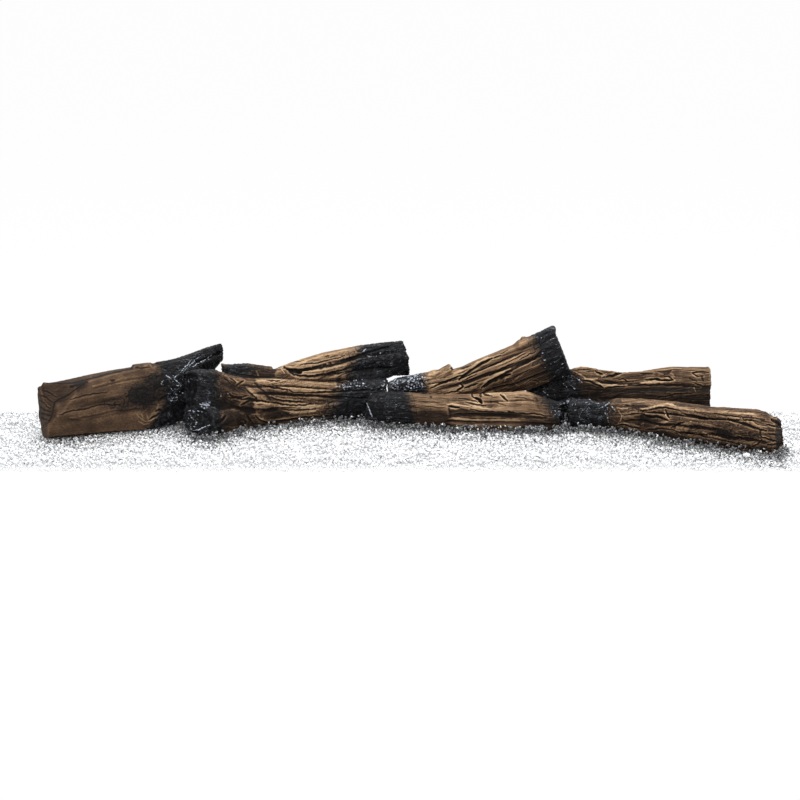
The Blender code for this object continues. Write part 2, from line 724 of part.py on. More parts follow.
def branch_path(path, leaning):
    """From the fork to a tip that passes behind the leaning log's left end."""
    passing, tall, deep = leaning[0]
    tip = Vector((passing.x + BRANCH_PASSES, passing.y + (deep + BRANCH_DEPTH) / 2 + BRANCH_GAP,
                  FOOT + FORKED_LOG_HEIGHT * BRANCH_TIP_RISE_SHARE))
    start = spot_on(path, *BRANCH_START_SHARES)
    reach = (tip - start).length
    count = round(reach / STATION_PITCH)
    branch = []
    for i in range(count + 1):
        s = interpolated(BRANCH_STATION_SHARES, i / count)
        centre = start.lerp(tip, s.along) + Vector((0, 0, s.centre * reach))
        branch.append((centre, s.tall * BRANCH_HEIGHT, s.deep * BRANCH_DEPTH))
    return branch


def build_forked_log(path, leaning, material):
    """A trunk with a root and a stub at its burnt left end, and a branch that rises behind it."""
    log = make_object("forked_log", loft(path, FORKED_LOG_SHAPE, FORKED_LOG_SEED, FOOT), material)
    unite(log, make_object("forked_log_branch", loft(branch_path(path, leaning), BRANCH_SHAPE, BRANCH_SEED)))
    sizes = (FORKED_LOG_HEIGHT, FORKED_LOG_DEPTH)
    grow_limb(log, "forked_log_root", path, FORKED_LOG_ROOT_SHARES, *sizes, ROOT_SEED, FOOT + LIMB_STEP)
    grow_limb(log, "forked_log_stub", path, FORKED_LOG_STUB_SHARES, *sizes, STUB_SEED)
    return log


def build_leaning_log(path, material):
    """A split log with a short left foot on the bed, a broken knob and a raised, burnt right end."""
    log = make_object("leaning_log", loft(path, LEANING_LOG_SHAPE, LEANING_LOG_SEED, FOOT), material)
    grow_limb(log, "leaning_log_knob", path, LEANING_LOG_KNOB_SHARES, LEANING_LOG_HEIGHT,
              LEANING_LOG_DEPTH, KNOB_SEED)
    return log


def build_back_log(path, leaning, leaning_path, material):
    """A split log whose burnt tip is worn to the slope of the leaning log's underside, which lies on it."""
    log = make_object("back_right_log", loft(path, BACK_LOG_SHAPE, BACK_LOG_SEED, FOOT), material)
    before, after = leaning_path[-2][0], leaning_path[-1][0]
    tangent = (after - before).normalized()
    back = Vector((0, 0, 1)).cross(tangent).normalized()
    up = tangent.cross(back)
    left_end = path[0][0].x - STATION_PITCH
    lowest = min(vert.co.dot(up) for vert in leaning.data.vertices if vert.co.x > left_end)
    origin = after + up * (lowest - SEAT_GAP - after.dot(up))
    cut_away(log, "back_log_seat", half_space(origin, tangent, back, LEANING_LOG_LENGTH))
    return log


def lies_under(x, y, paths):
    """Whether a place in plan is below the middle half of a log."""
    return any(math.hypot(centre.x - x, centre.y - y) < deep / 2
               for path in paths for centre, tall, deep in path)


def build_bed(left_edge, right_edge, paths, material):
    """The heap of crystals as one body: a flat base, a top of facets that dips between its peaks but is
    pressed level under the logs, a nearly level back edge, and other edges that slope down, wavy along
    the front."""
    across = max(2, round((right_edge - left_edge) / BED_CELL))
    deep = max(2, round(BED_DEPTH / BED_CELL))
    builder = bmesh.new()
    top = []
    for j in range(deep + 1):
        row = []
        for i in range(across + 1):
            dice = random.Random(ROW_SEEDS * j + i)
            x = left_edge + (right_edge - left_edge) * i / across
            y = BED_DEPTH * (j / deep - 0.5)
            dimple = BED_DIMPLE * max(0.0, dice.uniform(*BED_DIMPLE_SHARES))
            if j == 0:
                y += BED_EDGE_WAVE * dice.random()
            if i in (0, across) or j in (0, deep):
                z = BED_BACK_HEIGHT if j == deep else BED_EDGE_HEIGHT
            else:
                x += BED_CELL * dice.uniform(-BED_SHIFT_SHARE, BED_SHIFT_SHARE)
                y += BED_CELL * dice.uniform(-BED_SHIFT_SHARE, BED_SHIFT_SHARE)
                z = BED_HEIGHT if lies_under(x, y, paths) else BED_HEIGHT - dimple
            row.append(builder.verts.new((x, y, z)))
        top.append(row)
    for j in range(deep):
        for i in range(across):
            a, b, c, d = top[j][i], top[j][i + 1], top[j + 1][i + 1], top[j + 1][i]
            builder.faces.new((a, b, c) if (i + j) % 2 else (a, b, d))
            builder.faces.new((a, c, d) if (i + j) % 2 else (b, c, d))
    rim = top[0] + [row[-1] for row in top[1:]] + top[-1][-2::-1] + [row[0] for row in top[-2:0:-1]]
    base = [builder.verts.new((vert.co.x, vert.co.y, 0)) for vert in rim]
    for i in range(len(rim)):
        j = (i + 1) % len(rim)
        builder.faces.new((rim[i], base[i], base[j], rim[j]))
    builder.faces.new(base)
    return make_object("crystal_bed", builder, material)


def world_tree(item):
    """A search tree of an object's finished surface."""
    graph = bpy.context.evaluated_depsgraph_get()
    graph.update()
    mesh = item.evaluated_get(graph).to_mesh()
    points = [item.matrix_world @ vert.co for vert in mesh.vertices]
    faces = [tuple(face.vertices) for face in mesh.polygons]
    return BVHTree.FromPolygons(points, faces)


def crystal_corners(place, dice):
    """The corners of one broken crystal about a place."""
    stretch = Vector([dice.uniform(*shares) for shares in CRYSTAL_STRETCH_SHARES])
    turn = Matrix.Rotation(dice.uniform(0, math.tau), 3, "Z")
    corners = []
    for i in range(CRYSTAL_CORNERS):
        height = 1 - 2 * (i + 0.5) / CRYSTAL_CORNERS
        angle = i * GOLDEN_ANGLE + dice.uniform(-CRYSTAL_TWIST, CRYSTAL_TWIST)
        ring = math.sqrt(1 - height * height)
        unit = Vector((ring * math.cos(angle), ring * math.sin(angle), height))
        corners.append(place + turn @ (unit * stretch) * (CRYSTAL_SIZE / 2))
    return corners


def hull_of(corners):
    builder = bmesh.new()
    for corner in corners:
        builder.verts.new(corner)
    bmesh.ops.convex_hull(builder, input=builder.verts)
    return builder


def dropped(corners, ground):
    """The corners lowered until the crystal nearly touches what lies under it."""
    step = SEAT_GAP / 4
    drop = Vector()
    while min(corner.z for corner in corners) - drop.z > SEAT_GAP:
        builder = hull_of([corner - drop for corner in corners])
        touches = BVHTree.FromBMesh(builder).overlap(ground)
        builder.free()
        if touches:
            break
        drop.z += step
    drop.z -= SEAT_GAP + step
    return [corner - drop for corner in corners]


def is_clear(corners, obstacles):
    """Whether a crystal lies its own size or more from every log and every crystal laid before it."""
    middle = sum(corners, Vector()) / len(corners)
    return all(tree.find_nearest(middle)[3] >= CRYSTAL_SIZE for tree in obstacles)


def build_loose_crystals(left_edge, right_edge, ground, logs, material):
    """Single crystals spread along the heap's front. One that would touch a log or another crystal lies
    further towards the middle."""
    obstacles = [world_tree(log) for log in logs]
    pitch = (right_edge - left_edge) / LOOSE_CRYSTALS
    for index in range(LOOSE_CRYSTALS):
        dice = random.Random(index)
        x = left_edge + pitch * (index + dice.uniform(*LOOSE_CRYSTAL_PLACE_SHARES))
        y = dice.uniform(CRYSTAL_SIZE, LOOSE_CRYSTAL_REACH) - BED_DEPTH / 2
        shape = crystal_corners(Vector((x, y, BED_HEIGHT + CRYSTAL_SIZE)), dice)
        corners = dropped(shape, ground)
        inward = Vector((-math.copysign(CRYSTAL_SIZE, x), 0, 0))
        while not is_clear(corners, obstacles):
            shape = [corner + inward for corner in shape]
            corners = dropped(shape, ground)
        crystal = make_object(f"loose_crystal_{index + 1}", hull_of(corners), material)
        obstacles.append(world_tree(crystal))


def main():
    remove_everything()
    resin = finish_material("resin_driftwood", (0.17, 0.10, 0.055), 0.8)
    glass = finish_material("clear_crystal", (0.93, 0.95, 0.97), 0.05, 1.0)

    paths = lay_out()
    left_path, forked_path, front_path, leaning_path, back_path, right_path = paths

    leaning = build_leaning_log(leaning_path, resin)
    logs = [
        build_left_log(left_path, resin),
        build_forked_log(forked_path, leaning_path, resin),
        make_object("front_log", loft(front_path, FRONT_LOG_SHAPE, FRONT_LOG_SEED, FOOT), resin),
        leaning,
        build_back_log(back_path, leaning, leaning_path, resin),
        make_object("right_log", loft(right_path, RIGHT_LOG_SHAPE, RIGHT_LOG_SEED, FOOT), resin),
    ]

    left_edge, right_edge = bed_edges(left_path, right_path)
    bed = build_bed(left_edge, right_edge, paths, glass)
    build_loose_crystals(left_edge, right_edge, world_tree(bed), logs, glass)


main()
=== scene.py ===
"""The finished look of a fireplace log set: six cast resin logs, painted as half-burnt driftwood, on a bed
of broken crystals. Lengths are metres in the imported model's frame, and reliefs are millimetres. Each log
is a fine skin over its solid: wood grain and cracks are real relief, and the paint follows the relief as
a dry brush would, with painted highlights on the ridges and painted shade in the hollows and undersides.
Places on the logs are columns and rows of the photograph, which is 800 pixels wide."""

import math
import random
from typing import NamedTuple

import bmesh
import bpy
import numpy as np
from mathutils import Matrix, Vector
from mathutils.bvhtree import BVHTree
from mathutils.kdtree import KDTree


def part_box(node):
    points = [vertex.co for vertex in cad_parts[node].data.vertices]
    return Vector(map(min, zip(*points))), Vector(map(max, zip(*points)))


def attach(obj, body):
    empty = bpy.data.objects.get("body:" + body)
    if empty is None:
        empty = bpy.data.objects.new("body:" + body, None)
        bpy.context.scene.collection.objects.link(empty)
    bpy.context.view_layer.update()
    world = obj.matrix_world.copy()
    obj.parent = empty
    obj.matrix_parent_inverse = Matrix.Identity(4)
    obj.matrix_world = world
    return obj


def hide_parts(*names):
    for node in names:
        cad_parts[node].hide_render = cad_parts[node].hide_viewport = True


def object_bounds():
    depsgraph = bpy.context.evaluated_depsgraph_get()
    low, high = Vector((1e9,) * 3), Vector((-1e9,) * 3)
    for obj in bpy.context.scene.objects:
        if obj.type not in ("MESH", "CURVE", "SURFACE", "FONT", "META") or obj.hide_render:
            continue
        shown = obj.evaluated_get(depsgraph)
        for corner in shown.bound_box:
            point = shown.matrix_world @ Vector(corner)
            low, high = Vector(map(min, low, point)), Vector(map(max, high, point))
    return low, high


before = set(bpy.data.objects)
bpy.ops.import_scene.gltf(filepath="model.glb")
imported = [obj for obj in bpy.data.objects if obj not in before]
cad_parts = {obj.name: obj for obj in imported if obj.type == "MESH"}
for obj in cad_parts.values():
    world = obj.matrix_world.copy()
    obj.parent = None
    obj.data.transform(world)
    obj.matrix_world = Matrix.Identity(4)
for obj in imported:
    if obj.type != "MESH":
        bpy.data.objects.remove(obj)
cad_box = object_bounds()

MM = 0.001

# The view, which matches the photograph's
IMAGE_WIDTH = 800
SENSOR_WIDTH = 36.0
PIXEL_SIZE = 1.637 * MM
CAMERA_DISTANCE = 3.5
CAMERA_ELEVATION = math.radians(15)
CAMERA_AIM = Vector((-0.0037, -0.020, 0.078))
AWAY = Vector((0, math.cos(CAMERA_ELEVATION), -math.sin(CAMERA_ELEVATION)))
UPWARD = Vector((0, math.sin(CAMERA_ELEVATION), math.cos(CAMERA_ELEVATION)))

# The logs' skin
USUAL_VOXEL = 1.3
MERGE_DISTANCE = 0.01 * MM
EDGE_INSET = 0.05 * MM
SKIN_SMOOTHING = 3
FRONT_LIMIT = -0.03
MARK_WANDER = 0.7
MARK_WANDER_SIZE = 7 * MM
BRANCH_SOFTNESS = 3

# Strokes: how narrow their ends are, the width in pixels from which relief is full, and the lip beside them
STROKE_END = 0.45
FULL_WIDTH = 1.4
LIP_PLACE = 1.5
LIP_BREADTH = 0.6
LIP_HEIGHT = 0.5

# Burnt wood: a ragged edge as heights and sizes, and how far out and in a spot fades, in radii
RAGGED = ((3.2, 9 * MM), (1.6, 4 * MM))
RAGGED_SOFTNESS = 9
RAGGED_SCORCH = 0.03
SCORCH_EDGE = (1.15, 0.45)
ASH_EDGE = (1.2, 0.5)
ASH_OVER_CHAR = (0.2, 0.6)
FULL_CHAR = (0.93, 1)
CHAR_SMOOTHING = 0.55

# The cracks of charred wood, along and across it: sizes and depth in millimetres, breadth, and noise seed
CHAR_CRACKS = (((40, 4.2, 4.2), 1.5, 0.2, 61), ((9, 16, 16), 1.3, 0.12, 67))
CRUMB_HEIGHT = 0.45
CRUMB_SIZE = 3.2 * MM

# Dry brushing with painted highlights on the ridges and painted shade in the hollows: a share of the tone
# and a height in millimetres, for fine and for broad ridges
FINE_RIDGES = (0.3, 0.25)
BROAD_RIDGES = (0.55, 0.9)
BROAD_LIMIT = 0.5
FINE_ROUNDS = 5
BROAD_ROUNDS = 24
SIDEWAYS = (0.3, 0.65)
SIDEWAYS_DULLING = 0.8
BLOTCHES = 0.12
BLOTCH_SIZE = 22 * MM
# Painted shade: downward faces are painted darker, as if in shadow
UNDERSIDE_SHADE = 0.1
# Pale ash with painted glints, flecked on the ridges of the char
RIDGE_ASH_AND_GLINT = 0.12
ASH_AND_GLINT_RIDGES = (0.2, 0.6)
ASH_AND_GLINT_SIZE = 12 * MM


class Effect(NamedTuple):
    """What a stroke does: relief in millimetres, a change of tone, pale ash with painted glints, and a
    light lip beside it. A broad one fades evenly from its line, where the others are sharp."""

    relief: float
    tone: float
    ash_and_glint: float
    lip: float
    broad: bool = False


class Burn(NamedTuple):
    """The char beyond a line of the photograph. side is 1 for the right of the line and -1 for the left,
    and soft is the width in pixels over which the wood turns black."""

    top: tuple
    bottom: tuple
    side: int
    soft: float


class Spot(NamedTuple):
    """An elliptical scorch or dusting of ash."""

    centre: tuple
    radii: tuple
    strength: float


class Patch(NamedTuple):
    """An area inside corners of the photograph that is darker or lighter, sunk or raised, with a soft edge
    in pixels."""

    tone: float
    relief: float
    soft: float
    corners: tuple


class Wood(NamedTuple):
    """How one log is carved and painted. grain is the guide line that its fibres follow, run and pitch the
    fibres' length and spacing, voxel the skin's fineness, and depth, ledges and cracks heights, all in
    millimetres. top is painted light, how much lighter its upward faces are painted. strokes holds lines
    of each kind: half the breadth in pixels, then the points. A branch above branch_edge has a guide line
    of its own."""

    grain: tuple
    voxel: float
    run: float
    pitch: float
    depth: float
    ledges: float
    cracks: float
    tone: float
    contrast: float
    top: float
    seed: float
    strokes: dict
    burns: tuple
    ashes: tuple
    patches: tuple
    scorches: tuple = ()
    branch_grain: tuple = ()
    branch_edge: tuple = ()


EFFECTS = {
    "crack": Effect(-2.8, -0.8, 0.0, 0.12),
    "hairline": Effect(-0.9, -0.4, 0.0, 0.03),
    "groove": Effect(-1.8, -0.5, 0.0, 0.08),
    "hollow": Effect(-4.5, -1.0, 0.0, 0.06),
    "dark": Effect(-0.3, -0.5, 0.0, 0.0),
    "tan": Effect(0.3, 0.25, 0.0, 0.0),
    "pale": Effect(0.5, 0.42, 0.0, 0.0),
    # white and rim strokes are pale ash with painted glints on the char's ridges and edges
    "white": Effect(0.6, 0.0, 0.75, 0.0),
    "rim": Effect(0.2, 0.1, 0.52, 0.0),
    "fill": Effect(1.2, -0.02, 0.0, 0.0),
    "swell": Effect(4.0, 0.0, 0.0, 0.0, True),
    "shrink": Effect(-4.0, 0.0, 0.0, 0.0, True),
    "bulge": Effect(1.6, 0.0, 0.0, 0.0, True),
}


def corners_of(box):
    """The low and high corner of a box as arrays."""
    return tuple(np.array(corner) for corner in box)


def placed(name, data):
    """A new object in the scene."""
    made = bpy.data.objects.new(name, data)
    bpy.context.scene.collection.objects.link(made)
    return made


def photo_pixels(points):
    """The photograph's column and row of each point."""
    eye = np.array(CAMERA_AIM - AWAY * CAMERA_DISTANCE)
    reach = points - eye
    depth = reach @ np.array(AWAY)
    scale = CAMERA_DISTANCE / PIXEL_SIZE
    columns = IMAGE_WIDTH / 2 + scale * reach[:, 0] / depth
    rows = IMAGE_WIDTH / 2 - scale * (reach @ np.array(UPWARD)) / depth
    return np.column_stack((columns, rows))


LATTICE_SIZE = 256
LATTICE_SEED = 7
NOISE_GAIN = 1.6
SEED_STEPS = np.array((1, 1.7, 2.3))
lattice_dice = np.random.default_rng(LATTICE_SEED)
LATTICE = lattice_dice.permutation(LATTICE_SIZE)
GRADIENTS = lattice_dice.normal(size=(LATTICE_SIZE, 3))
GRADIENTS /= np.linalg.norm(GRADIENTS, axis=1)[:, None]


def noise(points, seed):
    """Smooth noise between about -1 and 1 at each point, with features about one unit wide."""
    points = points + seed * SEED_STEPS
    cell = np.floor(points).astype(int)
    part = points - cell
    fade = part**3 * (part * (part * 6 - 15) + 10)
    total = np.zeros(len(points))
    for corner in np.ndindex(2, 2, 2):
        at = (cell + corner) % LATTICE_SIZE
        index = LATTICE[(LATTICE[at[:, 0]] + at[:, 1]) % LATTICE_SIZE]
        index = LATTICE[(index + at[:, 2]) % LATTICE_SIZE]
        weight = np.prod(np.where(corner, fade, 1 - fade), axis=1)
        total += weight * np.einsum("ij,ij->i", part - corner, GRADIENTS[index])
    return total * NOISE_GAIN


def smoothstep(low, high, values):
    share = np.clip((values - low) / (high - low), 0, 1)
    return share * share * (3 - 2 * share)


def row_at(line, columns):
    """The row of a guide line at each column."""
    line = np.array(line, float)
    return np.interp(columns, line[:, 0], line[:, 1])


def line_distance(pixels, line):
    """Each pixel's distance from a line of the photograph, and its place along it from 0 to 1."""
    line = np.array(line, float)
    lengths = np.linalg.norm(np.diff(line, axis=0), axis=1)
    starts = np.concatenate(((0,), np.cumsum(lengths)))
    nearest = np.full(len(pixels), np.inf)
    place = np.zeros(len(pixels))
    for a, b, start, length in zip(line, line[1:], starts, lengths):
        share = np.clip((pixels - a) @ (b - a) / (length * length), 0, 1)
        distance = np.linalg.norm(pixels - a - share[:, None] * (b - a), axis=1)
        closer = distance < nearest
        nearest[closer] = distance[closer]
        place[closer] = (start + share[closer] * length) / starts[-1]
    return nearest, place


def inside(pixels, patch):
    """How far each pixel is inside a patch, from 0 to 1."""
    corners = np.array(patch.corners, float)
    within = np.zeros(len(pixels), bool)
    for a, b in zip(corners, np.roll(corners, -1, axis=0)):
        spans = (a[1] > pixels[:, 1]) != (b[1] > pixels[:, 1])
        rise = b[1] - a[1] if b[1] != a[1] else 1.0
        within ^= spans & (pixels[:, 0] < a[0] + (pixels[:, 1] - a[1]) * (b[0] - a[0]) / rise)
    distance, _ = line_distance(pixels, patch.corners + patch.corners[:1])
    return smoothstep(-patch.soft, patch.soft, np.where(within, distance, -distance))


def covered(pixels, spots, edge, wander=0.0):
    """How strongly spots cover each pixel, from 0 to 1."""
    total = np.zeros(len(pixels))
    for spot in spots:
        reach = np.linalg.norm((pixels - spot.centre) / np.array(spot.radii), axis=1)
        total = np.maximum(total, spot.strength * smoothstep(*edge, reach + wander))
    return total


def skin_of(name, voxel):
    """A fine, even mesh over a node's solid."""
    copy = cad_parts[name].data.copy()
    builder = bmesh.new()
    builder.from_mesh(copy)
    bmesh.ops.remove_doubles(builder, verts=builder.verts, dist=MERGE_DISTANCE)
    builder.to_mesh(copy)
    builder.free()
    rough = placed(name + "_rough", copy)
    remesh = rough.modifiers.new("Remesh", "REMESH")
    remesh.mode = "VOXEL"
    remesh.voxel_size = voxel * MM
    graph = bpy.context.evaluated_depsgraph_get()
    mesh = bpy.data.meshes.new_from_object(rough.evaluated_get(graph))
    bpy.data.objects.remove(rough)
    mesh.name = name + "_finish"
    return mesh


class Skin:
    """The vertices of a mesh as arrays, with the smoothing that relief and paint need."""

    def __init__(self, mesh):
        self.mesh = mesh
        count = len(mesh.vertices)
        self.points = np.empty(count * 3, np.float32)
        mesh.vertices.foreach_get("co", self.points)
        self.points = self.points.reshape(-1, 3).astype(float)
        edges = np.empty(len(mesh.edges) * 2, np.int32)
        mesh.edges.foreach_get("vertices", edges)
        edges = edges.reshape(-1, 2)
        self.tails = np.concatenate((edges[:, 0], edges[:, 1]))
        self.heads = np.concatenate((edges[:, 1], edges[:, 0]))
        self.degree = np.maximum(np.bincount(self.tails, minlength=count), 1)

    def mean_of_neighbours(self, values):
        count = len(self.points)
        if values.ndim == 1:
            return np.bincount(self.tails, values[self.heads], count) / self.degree
        return np.column_stack([self.mean_of_neighbours(column) for column in values.T])

    def smoothed(self, values, rounds):
        for _ in range(rounds):
            values = 0.5 * values + 0.5 * self.mean_of_neighbours(values)
        return values

    def normals(self):
        self.mesh.vertices.foreach_set("co", self.points.astype(np.float32).ravel())
        self.mesh.update()
        normals = np.empty(len(self.points) * 3, np.float32)
        self.mesh.vertex_normals.foreach_get("vector", normals)
        return normals.reshape(-1, 3).astype(float)

    def ridges(self, normals, rounds):
        """How far each point stands above its smoothed surroundings, in millimetres."""
        return np.einsum("ij,ij->i", self.points - self.smoothed(self.points, round(rounds)), normals) / MM

    def store(self, name, values):
        """Keeps numbers or vectors as an attribute of the mesh's points."""
        kind, key = ("FLOAT", "value") if values.ndim == 1 else ("FLOAT_VECTOR", "vector")
        attribute = self.mesh.attributes.new(name, kind, "POINT")
        attribute.data.foreach_set(key, values.astype(np.float32).ravel())


def mark_places(points, normals, pixels, wood):
    """Where the photograph's marks fall. Points that face away take the front's marks, mirrored at the
    guide line, and a slight wander keeps the marks from looking drawn."""
    faces_view = -(normals @ np.array(AWAY)) > FRONT_LIMIT
    mirrored = np.column_stack((pixels[:, 0], 2 * row_at(wood.grain, pixels[:, 0]) - pixels[:, 1]))
    wander = [noise(points / MARK_WANDER_SIZE, wood.seed + offset) for offset in (81, 83)]
    return np.where(faces_view[:, None], pixels, mirrored) + MARK_WANDER * np.column_stack(wander)


def grain_of(points, pixels, wood):
    """Coordinates along, across and into the wood in millimetres."""
    size = PIXEL_SIZE / MM
    across = pixels[:, 1] - row_at(wood.grain, pixels[:, 0])
    if wood.branch_grain:
        own = pixels[:, 1] - row_at(wood.branch_grain, pixels[:, 0])
        above = pixels[:, 1] - row_at(wood.branch_edge, pixels[:, 0])
        share = smoothstep(BRANCH_SOFTNESS, -BRANCH_SOFTNESS, above)
        across = across * (1 - share) + own * share
    return np.column_stack((pixels[:, 0] * size, across * size, points[:, 1] / MM))


def carved(grain, wood):
    """The height of fibres, splits and torn ledges at each point, in millimetres."""
    sway = noise(grain / (wood.run * 0.8, wood.pitch * 3, wood.pitch * 3), wood.seed + 5)
    grain = grain + np.outer(sway, (0, wood.pitch * 0.6, wood.pitch * 0.4))
    fibre = np.array((wood.run, wood.pitch, wood.pitch))

    def layer(run, pitch, offset):
        return noise(grain / fibre / (run, pitch, pitch), wood.seed + offset)

    between = np.abs(layer(1.3, 1, 11))
    split = smoothstep(0.0, 0.45, layer(0.9, 1.8, 41))
    step = (layer(1.3, 1.7, 53) * 2.6) % 1.0
    fibres = 1.3 * layer(1.8, 1.8, 0) + 0.45 * layer(0.7, 0.4, 23) + 0.22 * layer(0.4, 0.17, 31)
    cracks = 2.2 * np.clip(1 - between / 0.13, 0, 1) * split
    return wood.depth * (fibres - 0.3) - wood.cracks * cracks + wood.ledges * (step - 0.5)


def burnt(pixels, wood, points):
    """How black each point is, from 0 to 1, with a ragged edge."""
    ragged = sum(height * noise(points / size, wood.seed + offset)
                 for offset, (height, size) in enumerate(RAGGED, 3))
    total = covered(pixels, wood.scorches, SCORCH_EDGE, ragged * RAGGED_SCORCH)
    for burn in wood.burns:
        top, bottom = np.array(burn.top, float), np.array(burn.bottom, float)
        along = (bottom - top) / np.linalg.norm(bottom - top)
        beyond = ((pixels - top) @ np.array((along[1], -along[0]))) * burn.side
        beyond += ragged * burn.soft / RAGGED_SOFTNESS
        total = np.maximum(total, smoothstep(-burn.soft, burn.soft, beyond))
    return total


def cracked_char(points, grain, seed):
    """The relief of charred wood: small blocks between cracks along and across the fibres."""
    height = CRUMB_HEIGHT * noise(points / CRUMB_SIZE, seed + 71)
    for size, depth, breadth, offset in CHAR_CRACKS:
        height -= depth * np.clip(1 - np.abs(noise(grain / size, seed + offset)) / breadth, 0, 1)
    return height


def marked(places, wood):
    """The relief, tone and ash that strokes and patches add at each place."""
    relief, tone, ash_and_glint = np.zeros((3, len(places)))
    for kind, lines in wood.strokes.items():
        effect = EFFECTS[kind]
        for breadth, *line in lines:
            distance, share = line_distance(places, line)
            fullness = np.sin(math.pi * np.clip(share, 0.02, 0.98)) ** 0.6
            width = breadth * (STROKE_END + (1 - STROKE_END) * fullness)
            sharp = np.clip(1 - distance / width, 0, 1) ** 0.7
            shape = smoothstep(breadth, 0, distance) if effect.broad else sharp
            lip = effect.lip * np.exp(-(((distance - LIP_PLACE * width) / (LIP_BREADTH * width)) ** 2))
            relief += effect.relief * shape * min(1, breadth / FULL_WIDTH) + LIP_HEIGHT * lip
            tone += effect.tone * shape + lip
            ash_and_glint = np.maximum(ash_and_glint, effect.ash_and_glint * shape)
    for patch in wood.patches:
        share = inside(places, patch)
        relief += patch.relief * share
        tone += patch.tone * share
    return relief, tone, ash_and_glint


def dress_log(name, wood, material):
    """Replaces a log's solid with a carved and painted skin."""
    mesh = skin_of(name, wood.voxel)
    skin = Skin(mesh)
    skin.points = skin.smoothed(skin.points, SKIN_SMOOTHING)
    normals = skin.normals()
    start = skin.points.copy()
    pixels = photo_pixels(start)
    places = mark_places(start, normals, pixels, wood)
    grain = grain_of(start, pixels, wood)
    char = burnt(pixels, wood, start)
    relief, tone, ash_and_glint = marked(places, wood)
    relief += carved(grain, wood) * (1 - CHAR_SMOOTHING * char)
    relief += cracked_char(start, grain, wood.seed) * char

    skin.points = start + normals * (relief * MM)[:, None]
    low, high = corners_of(cad_box)
    skin.points = np.clip(skin.points, low + EDGE_INSET, high - EDGE_INSET)
    skin.points[:, 2] = np.maximum(skin.points[:, 2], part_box("crystal_bed")[1][2] + EDGE_INSET)
    normals = skin.normals()

    finer = (USUAL_VOXEL / wood.voxel) ** 2
    close = skin.ridges(normals, FINE_ROUNDS * finer)
    wide = np.minimum(skin.ridges(normals, BROAD_ROUNDS * finer), BROAD_LIMIT)
    # Painted light and shade from the relief: ridges are dry-brushed lighter with a painted highlight, and
    # hollows are darker with painted shade
    ridges = sum(share * np.tanh(height / full)
                 for height, (share, full) in ((close, FINE_RIDGES), (wide, BROAD_RIDGES)))
    sideways = smoothstep(*SIDEWAYS, np.abs(normals[:, 0]))
    ridges = np.where(ridges > 0, ridges * (1 - SIDEWAYS_DULLING * sideways), ridges)
    tone += wood.tone + wood.contrast * ridges
    tone += BLOTCHES * noise(start / BLOTCH_SIZE, wood.seed + 91)
    # Painted light and shade: upward faces lighter by the log's top, downward faces darker by
    # UNDERSIDE_SHADE
    tone += wood.top * np.clip(normals[:, 2], 0, 1) - UNDERSIDE_SHADE * np.clip(-normals[:, 2], 0, 1)

    dusted = covered(places, wood.ashes, ASH_EDGE)
    char = np.maximum(char, smoothstep(*ASH_OVER_CHAR, dusted))
    # Pale ash with painted glints, flecked on the ridges of full char
    ridge_ash_and_glint = smoothstep(0.0, 0.6, noise(start / ASH_AND_GLINT_SIZE, wood.seed + 97))
    ridge_ash_and_glint *= RIDGE_ASH_AND_GLINT * smoothstep(*ASH_AND_GLINT_RIDGES, close) * smoothstep(*FULL_CHAR, char)
    ash_and_glint = np.maximum(ash_and_glint, np.maximum(dusted, ridge_ash_and_glint))

    for key, values in (("tone", tone), ("char", char), ("ash_and_glint", ash_and_glint)):
        skin.store(key, np.clip(values, 0, 1))
    skin.store("grain", grain)
    mesh.shade_smooth()
    mesh.materials.clear()
    mesh.materials.append(material)
    piece = placed(name + "_finish", mesh)
    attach(piece, name)
    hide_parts(name)


def linear(red, green, blue):
    """A colour as Blender wants it, from the 0 to 255 of a picture."""
    shares = (red / 255, green / 255, blue / 255)
    return tuple(s / 12.92 if s <= 0.04045 else ((s + 0.055) / 1.055) ** 2.4 for s in shares) + (1.0,)


BLACK = linear(0, 0, 0)
WHITE = linear(255, 255, 255)


class Shader:
    """The node tree of a material or world, with short calls for the nodes used here."""

    def __init__(self, owner):
        owner.use_nodes = True
        self.owner = owner
        self.tree = owner.node_tree
        self.surface = self.tree.nodes.get("Principled BSDF")

    def node(self, kind, **settings):
        made = self.tree.nodes.new(kind)
        for key, value in settings.items():
            setattr(made, key, value)
        return made

    def link(self, start, end):
        self.tree.links.new(start, end)

    def attribute(self, name, output="Fac"):
        return self.node("ShaderNodeAttribute", attribute_name=name).outputs[output]

    def maths(self, operation, *values, clamp=False):
        made = self.node("ShaderNodeMath", operation=operation, use_clamp=clamp)
        for socket, value in zip(made.inputs, values):
            if isinstance(value, (int, float)):
                socket.default_value = value
            else:
                self.link(value, socket)
        return made.outputs[0]

    def noise(self, vector, scales, detail, roughness):
        scaled = self.node("ShaderNodeMapping")
        scaled.inputs["Scale"].default_value = scales
        self.link(vector, scaled.inputs["Vector"])
        made = self.node("ShaderNodeTexNoise")
        made.inputs["Scale"].default_value = 1.0
        made.inputs["Detail"].default_value = detail
        made.inputs["Roughness"].default_value = roughness
        self.link(scaled.outputs["Vector"], made.inputs["Vector"])
        return made.outputs["Fac"]

    def ramp(self, factor, *stops):
        made = self.node("ShaderNodeValToRGB")
        elements = made.color_ramp.elements
        while len(elements) < len(stops):
            elements.new(0.5)
        for element, (place, colour) in zip(elements, stops):
            element.position = place
            element.color = colour
        self.link(factor, made.inputs["Fac"])
        return made.outputs["Color"]

    def mix(self, factor, a, b):
        made = self.node("ShaderNodeMix", data_type="RGBA")
        self.link(factor, made.inputs["Factor"])
        self.link(a, made.inputs["A"])
        self.link(b, made.inputs["B"])
        return made.outputs["Result"]


